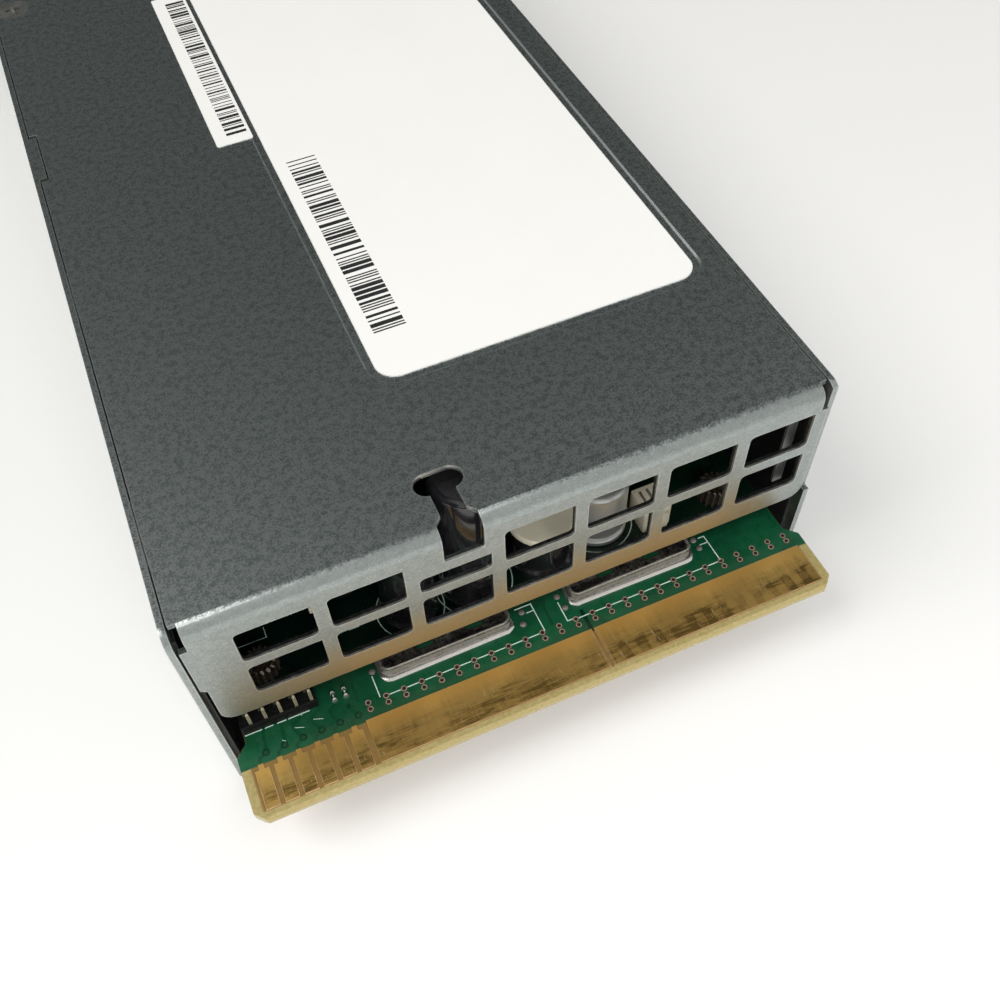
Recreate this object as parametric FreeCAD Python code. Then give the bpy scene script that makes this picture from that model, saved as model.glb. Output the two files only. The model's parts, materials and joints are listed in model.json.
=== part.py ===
import FreeCAD, Part
import math
import os

# Hot swap server power supply, one rack unit high.
#
# Facing the gold card edge, +X is to the right, +Y runs into the case and +Z is up.
# The origin is the centre of the case's underside, and lengths are in millimetres.
# A depth is measured into the case from the outer face of the outlet grille.

V = FreeCAD.Vector
UP = V(0, 0, 1)
INWARDS = V(0, 1, 0)
ACROSS = V(1, 0, 0)

# ---- case ---------------------------------------------------------------------
case_w = 86.4
case_h = 39.0
case_l = 185.0
sheet = 0.8                 # zinc coated steel of tray and cover
tray_bend = 1.4             # outer radius of the tray's lower bends
cover_bend = 1.8            # outer radius of the bend between cover and grille
cover_gap = 0.2             # cover edge to tray wall
wall_nose = 0.4             # the tray's walls start this far outside the grille
wall_nose_r = 2.4
hook_z = 18.0               # above it the right wall stands back behind the grille
hook_cut = 0.9
rear_y = -case_l / 2
front_y = case_l / 2
wall_in = case_w / 2 - sheet
cover_half = wall_in - cover_gap
cover_under = case_h - sheet

# ---- outlet grille --------------------------------------------------------------
grille_foot = 16.8          # height of its lower edge
window_count = 7
window_bar = 1.8            # between two columns of windows
row_bar = 1.75              # between the two rows
frame_left = 6.0            # the grille's solid margins round the windows
frame_right = 1.8
frame_foot = 3.85
frame_head = 3.9
window_r = 0.7
short_window = 2            # this column's upper window leaves room for the slot
short_window_h = 3.0
grille_step_z = 26.0        # the left edge steps inwards below this height
grille_step = 0.75
grille_corner_r = 2.2
relief_w = 1.0              # bend reliefs at the grille's upper corners
relief_h = 3.6

# ---- keyhole slot over the bend ---------------------------------------------------
slot_x = -7.8
slot_depth = 7.7
slot_pill_w = 6.3
slot_pill_l = 3.3
slot_neck_w = 3.3
slot_mouth_w = 5.2
slot_flare_depth = 2.9
slot_drop = 5.3             # how far the mouth runs down the grille

# ---- labels and details of the cover ------------------------------------------------
label_x = 14.75
label_w = 46.5
label_depth = 25.4
label_spare = 5.45          # label's end to the cover screws
label_r = 3.0
label_margin = 1.0
emboss = 0.25
paper = 0.12
barcode_w = 5.9
barcode_l = 48.0
barcode_gap = 0.8           # between the two labels' edges
barcode_depth = 82.4
hold_depth = 86.5           # notch for the hold-down lip in the cover's left edge
hold_l = 12.6
hold_w = 1.0
hold_gap = 0.7
ledge_w = 10.0
ledge_reach = 6.4           # ledges bent in from the walls carry the cover
screw_lead = 16.45          # cover screws to the fan
screw_edge = 4.2            # cover screw to the case's side
ledge_shares = (0.0865, 0.3243, 0.9297)

# ---- grounding spring behind the grille ---------------------------------------------
strip_t = 0.4
strip_gap = 1.6             # strip to the grille
strip_w = 8.8
strip_l = 6.0
apron_w = 5.0
apron_h = 4.2
tail_w = 1.5
tail_h = 19.6

# ---- screws -----------------------------------------------------------------------
screw_r = 1.45              # core of an M3 screw, threads left out
screw_hole_gap = 0.15
flat_head_r = 2.9
flat_neck_r = 1.8           # just over the corners of the core
flat_head_h = 1.5
flat_screw_l = 5.0
board_screw_l = 6.0
fan_screw_l = 4.2
handle_screw_l = 7.0
pan_head_r = 2.6
pan_head_h = 1.7
recess_span = 2.6
recess_w = 0.6
recess_depth = 0.8

# ---- main board and its card edge ----------------------------------------------------
board_t = 1.6
board_top = 10.4
board_side = 2.0            # board edge to tray wall
fan_clearance = 18.0        # board's end to the fan
pad_pitch = 2.54
pad_count = 32
tab_margin = 1.36           # outermost contact place to the tab's side
tab_reach = 11.7
tab_root = 0.4              # the tab begins to widen this far outside the walls
tab_flare = 2.4             # where it reaches its full width
tab_chamfer = 1.5
tab_bevel = 0.4
copper = 0.07
small_pads = 6
pad_w = 1.92
pad_front = 10.45           # contact ends, measured out from the grille
pad_back = 5.05
pad_neck_w = 0.7
pad_neck_l = 0.75
blade_back = 4.2
blade_gap = 0.86
blade_places = 13
blade_shift = 0.45          # the second wide contact starts this much later
standoff_af = 5.5           # hexagonal standoffs, across flats
standoff_side = 4.2         # standoff to the board's side
standoff_near = 26.0
standoff_end = 5.0          # standoff to the board's end
tongue_left = 8.4           # the board's tongue under the inlet
tongue_gap = 1.8            # tongue to the fan
tongue_l = 24.0
board_half = wall_in - board_side
fan_t = 28.0
fan_depth = case_l - sheet - fan_t
board_end = fan_depth - fan_clearance
screw_depth = fan_depth - screw_lead
ledge_depths = [share * case_l for share in ledge_shares] + [screw_depth]
label_l = screw_depth - flat_head_r - label_spare - label_depth
tab_half = pad_count * pad_pitch / 2 + tab_margin

# ---- insulating film ---------------------------------------------------------------
film_t = 0.4
film_top_gap = 1.8          # the film's upper edge below the cover
film_hole_gap = 0.5         # round the standoffs
film_start = 1.2
film_end = 3.0              # how far it runs past the board

# ---- parts on the board: sizes -------------------------------------------------------
lid_gap = 2.4               # tall parts to the underside of the cover
bar_w = 21.5
bar_share = 0.0304          # its depth, a share of the board's length
bar_h = 2.3
bar_foot_h = 0.7
bar_foot = 0.55
bar_r = 1.5
bar_depth = 0.25
bar_slot_w = 3.4
bar_slot_l = 1.1
header_pins_n = 5
header_pitch = 2.08
header_h = 2.5
header_d = 2.5
header_side = 1.1           # first pin to the board's side
header_depth = 0.9
pin_t = 0.5
pin_rise = 2.9
pin_tail = 1.0
card_t = 1.6
card_chip_t = 1.0
wire_d = 0.45               # ridge that each turn makes on a ring choke
drum_inset = 0.2            # drum choke's body inside its cap
cap_t = 1.0
core_lift = 1.0
core_foot = 4.5             # ferrite under the winding
winding_inset = 9.0         # the winding is this much lower than the core
winding_bevel = 3.0
winding_gap = 5.5           # the winding's end face to the core's
bobbin_inset = 2.0
soft_top = 0.7              # bevel of moulded parts
sink_t = 2.4
fin_pitch = 5.2
fin_t = 1.2
fin_l = 9.0
package_w = 10.0
package_h = 14.0
package_t = 4.4
leg_pitch = 2.54
leg_t = 0.8
leg_l = 4.0
bulk_gap = 0.8              # the reservoir can to the film
bulk_lift = 0.2
cradle_h = 2.4
cradle_half = 6.0
cradle_inset = 6.0
sink_edge = 0.4             # primary sink to the board's left side
ring_room = 1.1
fuse_r = 2.6
fuse_l = 20.0
fuse_lift = 0.8
clip_w = 5.0
clip_h = 4.4

# ---- parts on the board: layout ------------------------------------------------------
# Shares, so that the parts keep their gaps when the board changes: places and widths across
# are shares of the board's half width, depths and lengths are shares of its length, heights
# are shares of the room over it, and radii go by whichever of its two sides is the scarcer.
board_slim = 0.2923         # half width to length where both sides are equally scarce
bar_places = (-0.2574, 0.4134)
chip_cap_places = (-0.688, -0.6485)
chip_depth = -0.0007
chip_cap = (0.021, 0.0116, 0.0315)              # width, length, height
output_cans = (                                 # place, depth, radius, height
    (-0.0965, 0.0695, 0.1188, 1.0),
    (-0.3366, 0.0666, 0.099, 0.787),
    (-0.0891, 0.1534, 0.1238, 1.0),
)
polymer_cans = ((0.4035, 0.0839, 0.1139, 0.433), (0.683, 0.178, 0.1139, 0.433))
drum = (0.1683, 0.0702, 0.1213, 0.3976)
ring_place = 0.8713
ring = (0.0695, 0.0916, 0.0322, 0.236)          # depth, radius, hole's radius, height
ring_turns = 12
sense_plug = (0.589, 0.0441, 0.109, 0.0362, 0.205)     # place, depth, width, length, height
film_cans = ((0.6188, 0.1056, 0.1733, 0.0289, 0.354), (-0.5347, 0.1013, 0.0891, 0.0507, 0.374))
card_place = (-0.6287, 0.0507)
card_l = 0.275
card_chips = (                                  # start, height, length and height on the card
    (0.184, 0.394, 0.184, 0.276),
    (0.5, 0.551, 0.237, 0.236),
    (0.789, 0.315, 0.158, 0.315),
    (0.447, 0.197, 0.132, 0.157),
)
main_transformer = (0.198, 0.3763)
core_w = 0.7426
core_l = 0.2171
winding_w = 0.99
sink_place = (-0.4703, 0.2287)
sink_side = 7.4             # rectifiers' sink to the board's right side
rectifier_places = (-0.3218, 0.0, 0.3218, 0.6436)
primary_depth = 0.6078
primary_w = 0.5446
primary_places = (-0.8416, -0.5569)
boost_ring = (-0.7178, 0.4776, 0.2723, 0.1238, 0.59)    # place, depth, radius, hole, height
boost_turns = 22
filter_ring = (-0.6832, 0.7815, 0.2351, 0.104, 0.512)
filter_turns = 18
reservoir_depth = 0.644
reservoir_l = 0.3328
relay_box = (0.0, 0.64, 0.396, 0.0905, 0.59)
fuse_place = (0.0248, 0.7815)
x_cap_boxes = ((-0.4703, 0.9045, 0.495, 0.0651, 0.63), (0.0248, 0.9262, 0.4208, 0.0579, 0.551))
y_cap_boxes = ((-0.1485, 0.8538, 0.1733, 0.026, 0.354), (0.099, 0.8538, 0.1733, 0.026, 0.354))

# ---- front wall: fan, inlet, handle, lamp ---------------------------------------------
fan_gap = 0.2               # fan to the tray's floor and to the cover
fan_side = 1.6              # fan to the right wall
fan_wall = 0.9              # the shroud at its thinnest
fan_flange_t = 3.6
fan_corner = 2.0
fan_hub_r = 9.0
fan_cup_r = 7.6
fan_cup_l = 20.4
fan_seat_t = 2.0
fan_seat_gap = 0.8
fan_tube_r = 3.2
fan_tube_l = 15.0
fan_rib_w = 2.2
fan_bore_in = 0.8           # how far the axle's bore goes into the seat
fan_stack_l = 10.0
fan_stack_gap = 0.7         # stack's corners to the cup
fan_cup_end = 1.8
fan_cup_bevel = 1.2
fan_boss_r = 2.8
fan_boss_l = 2.8
fan_axle_r = 1.5
fan_fit = 0.05
fan_tip_gap = 0.6
fan_hole_edge = 3.0         # screw hole to the fan's side
blade_count = 7
blade_chord = 17.0
blade_camber = 2.0
blade_t = 1.0
blade_pitch = 40.0
guard_hole = 4.8            # hexagon holes of the guard, across flats
guard_pitch = 5.6
inlet_h = 20.4
inlet_l = 18.6
inlet_rim_t = 2.2
inlet_rim_w = 1.6
inlet_gap = 0.5             # rim to the handle's foot
latch_side = 8.5            # rim to the tray's left wall, where the latch swings
socket_h = 15.8
socket_corner = 4.6
socket_side = 1.55          # the housing's walls round the socket
socket_wall = 2.2
pin_spread = 0.2869         # outer pins to the middle, of the socket's width
pin_recess = 2.5            # pin tips behind the front wall's outer face
handle_w = 6.5
handle_reach = 27.0
handle_bar = 6.5
handle_margin = 3.0         # handle's ends to the case's floor and top
handle_corner = 8.0
handle_inner_corner = 5.0
handle_soft = 1.4
lens_r = 1.5
lens_l = 5.0
lens_z = 5.2
lens_x = -14.0

# ---- latch ---------------------------------------------------------------------------
latch_z = 21.5
latch_h = 8.0
latch_t = 1.5
latch_wall_gap = 0.6        # lever to the tray's left wall
latch_pivot_side = 4.4      # pivot to the tray's left wall
latch_pivot_back = 38.0     # pivot behind the front wall's outer face
latch_pin_r = 1.5
pin_head_rim = 0.6
latch_fit = 0.05
latch_hub = 1.4
latch_tooth_back = 11.0
latch_tooth_l = 6.0
latch_tooth_out = 2.0       # how far the tooth stands out of the case
latch_tail = 13.0           # the lever's end in front of the front wall
latch_play = 0.8
latch_travel = 6.4          # width of the slot that the lever swings in
latch_seat_gap = 0.4
pad_l = 11.0
pad_t = 4.6
pad_soft = 0.9
pad_over = 1.4              # pad past the lever's edges
pad_end = 2.0               # and past its end
grip_count = 4
grip_pitch = 2.2
grip_w = 0.9
grip_deep = 0.4
spring_wire = 0.3
spring_turns = 3
spring_leg = 11.0
spring_stop = 0.9
bracket_half = 3.8

# ---- places worked out from the sizes ---------------------------------------------------
bar_d = bar_share * board_end
room = cover_under - lid_gap - board_top
radius_unit = min(board_half, board_slim * board_end)
board_under = board_top - board_t
fan_w = cover_under - sheet - 2 * fan_gap
fan_bore = fan_w / 2 - fan_wall
fan_x = wall_in - fan_side - fan_w / 2
fan_z = case_h / 2
fan_face = front_y - sheet
fan_back = fan_face - fan_t
handle_x = fan_x - fan_w / 2 - handle_w / 2
inlet_x1 = handle_x - handle_w / 2 - inlet_gap - inlet_rim_w
inlet_w = inlet_x1 - (latch_side + inlet_rim_w - wall_in)
inlet_x = inlet_x1 - inlet_w / 2
socket_w = inlet_w - 2 * socket_side
inlet_z = board_top + 0.9 + inlet_h / 2
inlet_back = front_y - inlet_l
latch_x0 = -wall_in + latch_wall_gap
latch_x1 = latch_x0 + latch_t
latch_low = latch_z - latch_h / 2
latch_high = latch_z + latch_h / 2
latch_seat_z = latch_low - latch_seat_gap
pivot = V(-wall_in + latch_pivot_side, front_y - latch_pivot_back, 0)
tooth_y = front_y - latch_tooth_back
screw_x = case_w / 2 - screw_edge


# ---- building helpers ----------------------------------------------------------------
def deep(depth):
    """The Y of a depth behind the grille's outer face."""
    return rear_y + depth


def across(share):
    return share * board_half


def along(share):
    return share * board_end


def rise(share):
    return share * room


def box(x0, x1, y0, y1, z0, z1):
    return Part.makeBox(x1 - x0, y1 - y0, z1 - z0, V(x0, y0, z0))


def block(x, depth, w, l, h, z=board_top):
    """A block standing on the board, its nearer face at the depth."""
    return box(x - w / 2, x + w / 2, deep(depth), deep(depth) + l, z, z + h)


def rod(radius, length, base, axis=UP):
    return Part.makeCylinder(radius, length, base, axis)


def polygon(points):
    return Part.Face(Part.makePolygon([V(*p) for p in list(points) + [points[0]]]))


def hexagon(inner_radius, length, base):
    """A six-sided bar standing on its base."""
    corner = inner_radius / math.cos(math.radians(30))
    turns = [math.radians(60 * i) for i in range(6)]
    outline = [(base.x + corner * math.cos(a), base.y + corner * math.sin(a), base.z) for a in turns]
    return polygon(outline).extrude(V(0, 0, length))


def flat_outline(width, height, radius, square=()):
    """A rectangle's face in XY, its corners eased by three short flats unless they are square."""
    points = []
    for index, (side_x, side_y) in enumerate(((1, 1), (-1, 1), (-1, -1), (1, -1))):
        if index in square:
            points.append((side_x * width / 2, side_y * height / 2, 0))
            continue
        x = side_x * (width / 2 - radius)
        y = side_y * (height / 2 - radius)
        for step in range(4):
            turn = math.radians(90 * index + 30 * step)
            points.append((x + radius * math.cos(turn), y + radius * math.sin(turn), 0))
    return polygon(points)


def round_outline(width, height, radius, square=()):
    """A rounded rectangle's wire in XY; corners count from +X+Y, anticlockwise."""
    a = width / 2
    b = height / 2
    corners = ((a, b), (-a, b), (-a, -b), (a, -b))
    edges = []
    last = None
    first = None
    for index, (x, y) in enumerate(corners):
        if index in square:
            start = end = V(x, y, 0)
            arc = None
        else:
            centre = V(x - math.copysign(radius, x), y - math.copysign(radius, y), 0)
            arc = Part.makeCircle(radius, centre, UP, 90 * index, 90 * index + 90)
            start, end = arc.Vertexes[0].Point, arc.Vertexes[-1].Point
        if last:
            edges.append(Part.makeLine(last, start))
        if arc:
            edges.append(arc)
        first = first or start
        last = end
    edges.append(Part.makeLine(last, first))
    return Part.Wire(edges)


def round_slab(width, height, thick, radius, centre, facing="Z", square=()):
    """A rounded plate, its thickness along facing, starting at centre."""
    slab = Part.Face(round_outline(width, height, radius, square)).extrude(V(0, 0, thick))
    if facing == "Y":
        slab.rotate(V(0, 0, 0), ACROSS, 90)
        slab.translate(V(0, thick, 0))
    slab.translate(centre)
    return slab


def fuse(shapes):
    joined = shapes[0].multiFuse(shapes[1:]) if len(shapes) > 1 else shapes[0]
    return joined.removeSplitter()


def cut(shape, tools):
    return shape.cut(Part.makeCompound(tools)).removeSplitter()


def bevel_top(shape, size):
    top = shape.BoundBox.ZMax
    return shape.makeChamfer(size, [e for e in shape.Edges if e.BoundBox.ZMin > top - 0.001])


def save(name, shapes):
    """One STEP file for a node, holding one solid or several like ones."""
    group = shapes if isinstance(shapes, list) else [shapes]
    solids = [solid for shape in group for solid in shape.Solids]
    for solid in solids:
        assert solid.isValid(), name
    Part.makeCompound(solids).exportStep("parts/%s.step" % name)


# ---- screws ---------------------------------------------------------------------------
def cross_recess(mouth_z):
    """Two crossed slots below the mouth, for a cross-head driver."""
    half = recess_span / 2
    slim = recess_w / 2
    one = box(-half, half, -slim, slim, mouth_z - recess_depth, mouth_z + 1)
    other = box(-slim, slim, -half, half, mouth_z - recess_depth, mouth_z + 1)
    return one.fuse(other)


def aim(shape, seat, outwards):
    """Turn a shape built up the Z axis so that its top points outwards of a seat."""
    turned = shape.copy()
    turned.Placement = FreeCAD.Placement(seat, FreeCAD.Rotation(UP, outwards)).multiply(shape.Placement)
    return turned


def screw_core(length, spare=0.0):
    """A six-sided bar below the origin: a screw's core, or with spare its hole."""
    return hexagon(screw_r + spare, length, V(0, 0, -length))


def pilot(top, length, spare=0.0, axis=UP):
    """The waste of a screw's hole, from the top down against the axis."""
    return aim(screw_core(length, spare), top, axis)


def pan_screw(seat, outwards, length):
    """Its head stands outwards of the seat, and its core runs the other way."""
    head = rod(pan_head_r, pan_head_h, V(0, 0, 0)).cut(cross_recess(pan_head_h))
    return aim(head.fuse(screw_core(length)), seat, outwards)


def hex_screw(seat, outwards, length):
    """A hexagon head screw, its core running inwards of the seat."""
    head = hexagon(pan_head_r, pan_head_h, V(0, 0, 0))
    return aim(head.fuse(screw_core(length)), seat, outwards)


def flat_screw(top, length):
    """Countersunk screw with its flat head level with the top."""
    head = Part.makeCone(flat_neck_r, flat_head_r, flat_head_h, V(0, 0, -flat_head_h))
    return aim(head.fuse(screw_core(length)).cut(cross_recess(0)), top, UP)


# ---- tray -----------------------------------------------------------------------------
def tray_section(inset, top):
    """The tray's U in XZ, as a filled face, inset from the outside."""
    half = case_w / 2 - inset
    r = tray_bend - inset
    s = r * math.sqrt(0.5)
    low = inset
    left = Part.Arc(V(-half, 0, low + r), V(-half + r - s, 0, low + r - s), V(-half + r, 0, low))
    right = Part.Arc(V(half - r, 0, low), V(half - r + s, 0, low + r - s), V(half, 0, low + r))
    edges = [
        Part.makeLine(V(-half, 0, top), V(-half, 0, low + r)),
        left.toShape(),
        Part.makeLine(V(-half + r, 0, low), V(half - r, 0, low)),
        right.toShape(),
        Part.makeLine(V(half, 0, low + r), V(half, 0, top)),
        Part.makeLine(V(half, 0, top), V(-half, 0, top)),
    ]
    return Part.Face(Part.Wire(edges))


def guard_holes():
    """Hexagon holes of the fan guard, as many as fit inside the fan's bore."""
    corner = guard_hole / 2 / math.cos(math.radians(30))
    row_h = guard_pitch * math.sqrt(0.75)
    reach = int(fan_bore / row_h) + 1
    holes = []
    for row in range(-reach, reach + 1):
        for column in range(-reach, reach + 1):
            x = (column + 0.5 * (row % 2)) * guard_pitch
            z = row * row_h
            if math.hypot(x, z) + corner < fan_bore:
                hole = hexagon(guard_hole / 2, 3 * sheet, V(0, 0, 0))
                hole.rotate(V(0, 0, 0), UP, 30)
                holes.append(aim(hole, V(fan_x + x, front_y + sheet, fan_z + z), -INWARDS))
    return holes


def fan_hole_places():
    """The fan is held at two opposite corners."""
    half = fan_w / 2 - fan_hole_edge
    return [(fan_x + side * half, fan_z + side * half) for side in (-1, 1)]


def handle_screw_heights():
    inset = handle_margin + handle_bar / 2
    return (inset, case_h - inset)


def front_openings():
    """Everything that is cut through the tray's front wall."""
    y0 = front_y - 2 * sheet
    y1 = front_y + sheet
    half_w = inlet_w / 2 + cover_gap
    half_h = inlet_h / 2 + cover_gap
    cuts = guard_holes()
    cuts.append(box(inlet_x - half_w, inlet_x + half_w, y0, y1, inlet_z - half_h, inlet_z + half_h))
    cuts.append(box(-wall_in + latch_wall_gap / 2, -wall_in + latch_wall_gap / 2 + latch_travel, y0, y1,
                    latch_low - latch_play, latch_high + latch_play))
    cuts.append(rod(lens_r, y1 - y0, V(lens_x, y0, lens_z), INWARDS))
    holes = fan_hole_places() + [(handle_x, z) for z in handle_screw_heights()]
    cuts += [pilot(V(x, y1, z), y1 - y0, screw_hole_gap, INWARDS) for x, z in holes]
    return cuts


def tray():
    nose_y = rear_y - wall_nose
    length = front_y - nose_y
    shell = tray_section(0, case_h).extrude(V(0, length, 0))
    shell = shell.cut(tray_section(sheet, case_h + 1).extrude(V(0, length - sheet, 0)))
    shell.translate(V(0, nose_y, 0))
    # the walls' upper rear corners are round, and the right wall stands back above the hook
    corner = box(-case_w, case_w, nose_y - 1, nose_y + wall_nose_r, case_h - wall_nose_r, case_h + 1)
    round_over = rod(wall_nose_r, 2 * case_w, V(-case_w, nose_y + wall_nose_r, case_h - wall_nose_r), ACROSS)
    cuts = front_openings()
    cuts.append(corner.cut(round_over))
    cuts.append(box(wall_in - 1, case_w, nose_y - 1, nose_y + hook_cut, hook_z, case_h + 1))
    # the latch's tooth comes out through the left wall
    cuts.append(box(-case_w, -wall_in + 0.1, tooth_y - 1, tooth_y + latch_tooth_l + 1,
                    latch_low - latch_play, latch_high + latch_play))
    shell = shell.cut(Part.makeCompound(cuts))
    return fuse([shell, hold_down(), latch_bracket()] + ledges())


def countersink(x):
    """The waste of a cover screw's head and core, down through cover and ledge."""
    y = deep(screw_depth)
    cone = Part.makeCone(flat_neck_r, flat_head_r, flat_head_h, V(x, y, case_h - flat_head_h))
    return [cone, pilot(V(x, y, case_h), 2 * flat_screw_l)]


def ledges():
    tabs = []
    for side in (-1, 1):
        for depth in ledge_depths:
            x0, x1 = sorted((side * (wall_in + sheet / 2), side * (wall_in - ledge_reach)))
            y = deep(depth)
            tab = box(x0, x1, y - ledge_w / 2, y + ledge_w / 2, cover_under - sheet, cover_under)
            if depth == screw_depth:
                tab = cut(tab, countersink(side * screw_x))
            tabs.append(tab)
    return tabs


def hold_down():
    """A lip bent in flush with the cover, in the notch on its left edge."""
    y0 = deep(hold_depth) + hold_gap
    y1 = deep(hold_depth + hold_l) - hold_gap
    lip = box(-case_w / 2, -cover_half + hold_w, y0, y1, cover_under, case_h)
    outer = [e for e in lip.Edges if e.BoundBox.XMax < -wall_in - 0.01 and e.BoundBox.ZMin > case_h - 0.01]
    return lip.makeFillet(sheet * 0.9, outer)


def latch_bracket():
    """Floor tab that carries the pivot pin, with the ear that stops the spring."""
    x1 = pivot.x + bracket_half
    y0 = pivot.y - bracket_half - spring_stop
    y1 = pivot.y + bracket_half
    top = latch_high + 2 * spring_wire * spring_turns
    shelf = box(-wall_in - sheet / 2, x1, y0, y1, latch_seat_z - sheet, latch_seat_z)
    riser = box(x1 - sheet, x1, y0, y1, sheet / 2, latch_seat_z)
    ear = box(x1 - sheet, x1, y0, y0 + 2 * spring_stop, latch_seat_z - 1, top)
    return fuse([shelf, riser, ear]).cut(rod(latch_pin_r, case_h, V(pivot.x, pivot.y, latch_seat_z - 2)))


# ---- cover and grille ------------------------------------------------------------------
def grille_windows():
    """Two rows of windows; each one's upper right corner is left sharp."""
    field_w = 2 * cover_half - frame_left - frame_right
    w = (field_w - (window_count - 1) * window_bar) / window_count
    h = (case_h - frame_head - grille_foot - frame_foot - row_bar) / 2
    row_low = grille_foot + frame_foot
    row_high = row_low + h + row_bar
    windows = []
    for column in range(window_count):
        x = -cover_half + frame_left + w / 2 + column * (w + window_bar)
        high = short_window_h if column == short_window else h
        for low, tall in ((row_low, h), (row_high, high)):
            window = flat_outline(w, tall, window_r, square=(0,)).extrude(V(0, 0, 3 * sheet))
            windows.append(aim(window, V(x, rear_y + 2 * sheet, low + tall / 2), -INWARDS))
    return windows


def keyhole():
    """Pill, neck and flared mouth that run from the top over the bend."""
    pill = round_slab(slot_pill_w, slot_pill_l, 3 * sheet, slot_pill_l / 2 - 0.001,
                      V(slot_x, deep(slot_depth), case_h - 2 * sheet))
    neck = slot_neck_w / 2
    mouth = slot_mouth_w / 2
    flare = slot_flare_depth - (mouth - neck)
    right = [(neck, slot_depth), (neck, slot_flare_depth), (mouth, flare), (mouth, -1)]
    left = [(-x, depth) for x, depth in reversed(right)]
    passage = polygon([(slot_x + x, deep(depth), case_h - slot_drop) for x, depth in right + left])
    return [pill, passage.extrude(V(0, 0, slot_drop + 1))]


def label_recess():
    """A shallow field with sloped sides around the large label."""
    wide = label_w + 2 * label_margin
    long = label_l + 2 * label_margin
    corner = label_r + label_margin
    top = round_outline(wide + 2 * emboss, long + 2 * emboss, corner + emboss)
    floor = round_outline(wide, long, corner)
    floor.translate(V(0, 0, -emboss))
    field = Part.makeLoft([floor, top], True)
    field.translate(V(label_x, deep(label_depth) + label_l / 2, case_h))
    return field


def grille_outline():
    """The waste round the grille: bend reliefs, the left edge's step, round lower corners."""
    y0 = rear_y - 1
    y1 = rear_y + cover_bend
    edge = -cover_half
    step = edge + grille_step
    waste = []
    for side in (-1, 1):
        x0, x1 = sorted((side * (cover_half + 1), side * (cover_half - relief_w)))
        waste.append(box(x0, x1, y0, y1, case_h - relief_h, case_h + 1))
    points = [(edge - 1, 0), (step, 0), (step, grille_step_z - grille_step), (edge, grille_step_z),
              (edge - 1, grille_step_z)]
    waste.append(polygon([(x, y0, z) for x, z in points]).extrude(V(0, y1 - y0, 0)))
    r = grille_corner_r
    for x, inwards in ((step, 1), (cover_half, -1)):
        x0, x1 = sorted((x, x + inwards * r))
        corner = box(x0, x1, y0, y1, grille_foot, grille_foot + r)
        waste.append(corner.cut(rod(r, 8, V(x + inwards * r, y0 - 1, grille_foot + r), INWARDS)))
    return waste


def cover():
    """The lid, bent down into the outlet grille."""
    end_y = fan_face - cover_gap
    bend_z = case_h - cover_bend
    bend_y = rear_y + cover_bend
    inner_r = cover_bend - sheet
    c = math.sqrt(0.5)
    outside = Part.Arc(V(0, bend_y, case_h), V(0, bend_y - cover_bend * c, bend_z + cover_bend * c),
                       V(0, rear_y, bend_z))
    inside = Part.Arc(V(0, rear_y + sheet, bend_z), V(0, bend_y - inner_r * c, bend_z + inner_r * c),
                      V(0, bend_y, cover_under))
    edges = [
        Part.makeLine(V(0, end_y, case_h), V(0, bend_y, case_h)),
        outside.toShape(),
        Part.makeLine(V(0, rear_y, bend_z), V(0, rear_y, grille_foot)),
        Part.makeLine(V(0, rear_y, grille_foot), V(0, rear_y + sheet, grille_foot)),
        Part.makeLine(V(0, rear_y + sheet, grille_foot), V(0, rear_y + sheet, bend_z)),
        inside.toShape(),
        Part.makeLine(V(0, bend_y, cover_under), V(0, end_y, cover_under)),
        Part.makeLine(V(0, end_y, cover_under), V(0, end_y, case_h)),
    ]
    plate = Part.Face(Part.Wire(edges)).extrude(V(2 * cover_half, 0, 0))
    plate.translate(V(-cover_half, 0, 0))
    notch = box(-case_w, -cover_half + hold_w + cover_gap, deep(hold_depth), deep(hold_depth + hold_l),
                cover_under - 1, case_h + 1)
    cuts = grille_windows() + keyhole() + grille_outline() + [label_recess(), notch]
    for side in (-1, 1):
        cuts += countersink(side * screw_x)
    return cut(plate, cuts)


def ground_spring():
    """Bent strip under the cover, with an apron and a long finger behind the grille."""
    y0 = deep(sheet) + strip_gap
    x1 = cover_half - frame_right
    pad = box(x1 - strip_w, x1, y0, y0 + strip_l, cover_under - strip_t, cover_under)
    apron = box(x1 - strip_w, x1 - strip_w + apron_w, y0, y0 + strip_t, cover_under - apron_h, cover_under)
    tail = box(x1 - tail_w, x1, y0, y0 + strip_t, cover_under - tail_h, cover_under)
    return fuse([pad, apron, tail])


def liner():
    """Black insulating film folded up inside the tray."""
    x = wall_in
    y0 = deep(film_start)
    y1 = deep(board_end + film_end)
    top = cover_under - film_top_gap
    base = box(-x, x, y0, y1, sheet, sheet + film_t)
    sides = [box(-x, -x + film_t, y0, y1, sheet, top), box(x - film_t, x, y0, y1, sheet, top)]
    fold = tray_section(sheet, case_h).extrude(V(0, y1 - y0, 0))
    fold.translate(V(0, y0, 0))
    reach = standoff_af / 2 + film_hole_gap
    holes = [hexagon(reach, board_under, V(px, py, 0)) for px, py in standoff_places()]
    return cut(fuse([base] + sides).common(fold), holes)


# ---- board and card edge ------------------------------------------------------------------
def standoff_places():
    """Two beside the card edge and one on the left of the board's end."""
    x = board_half - standoff_side
    end = deep(board_end - standoff_end)
    return [(-x, deep(standoff_near)), (x, deep(standoff_near)), (-x, end)]


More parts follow.
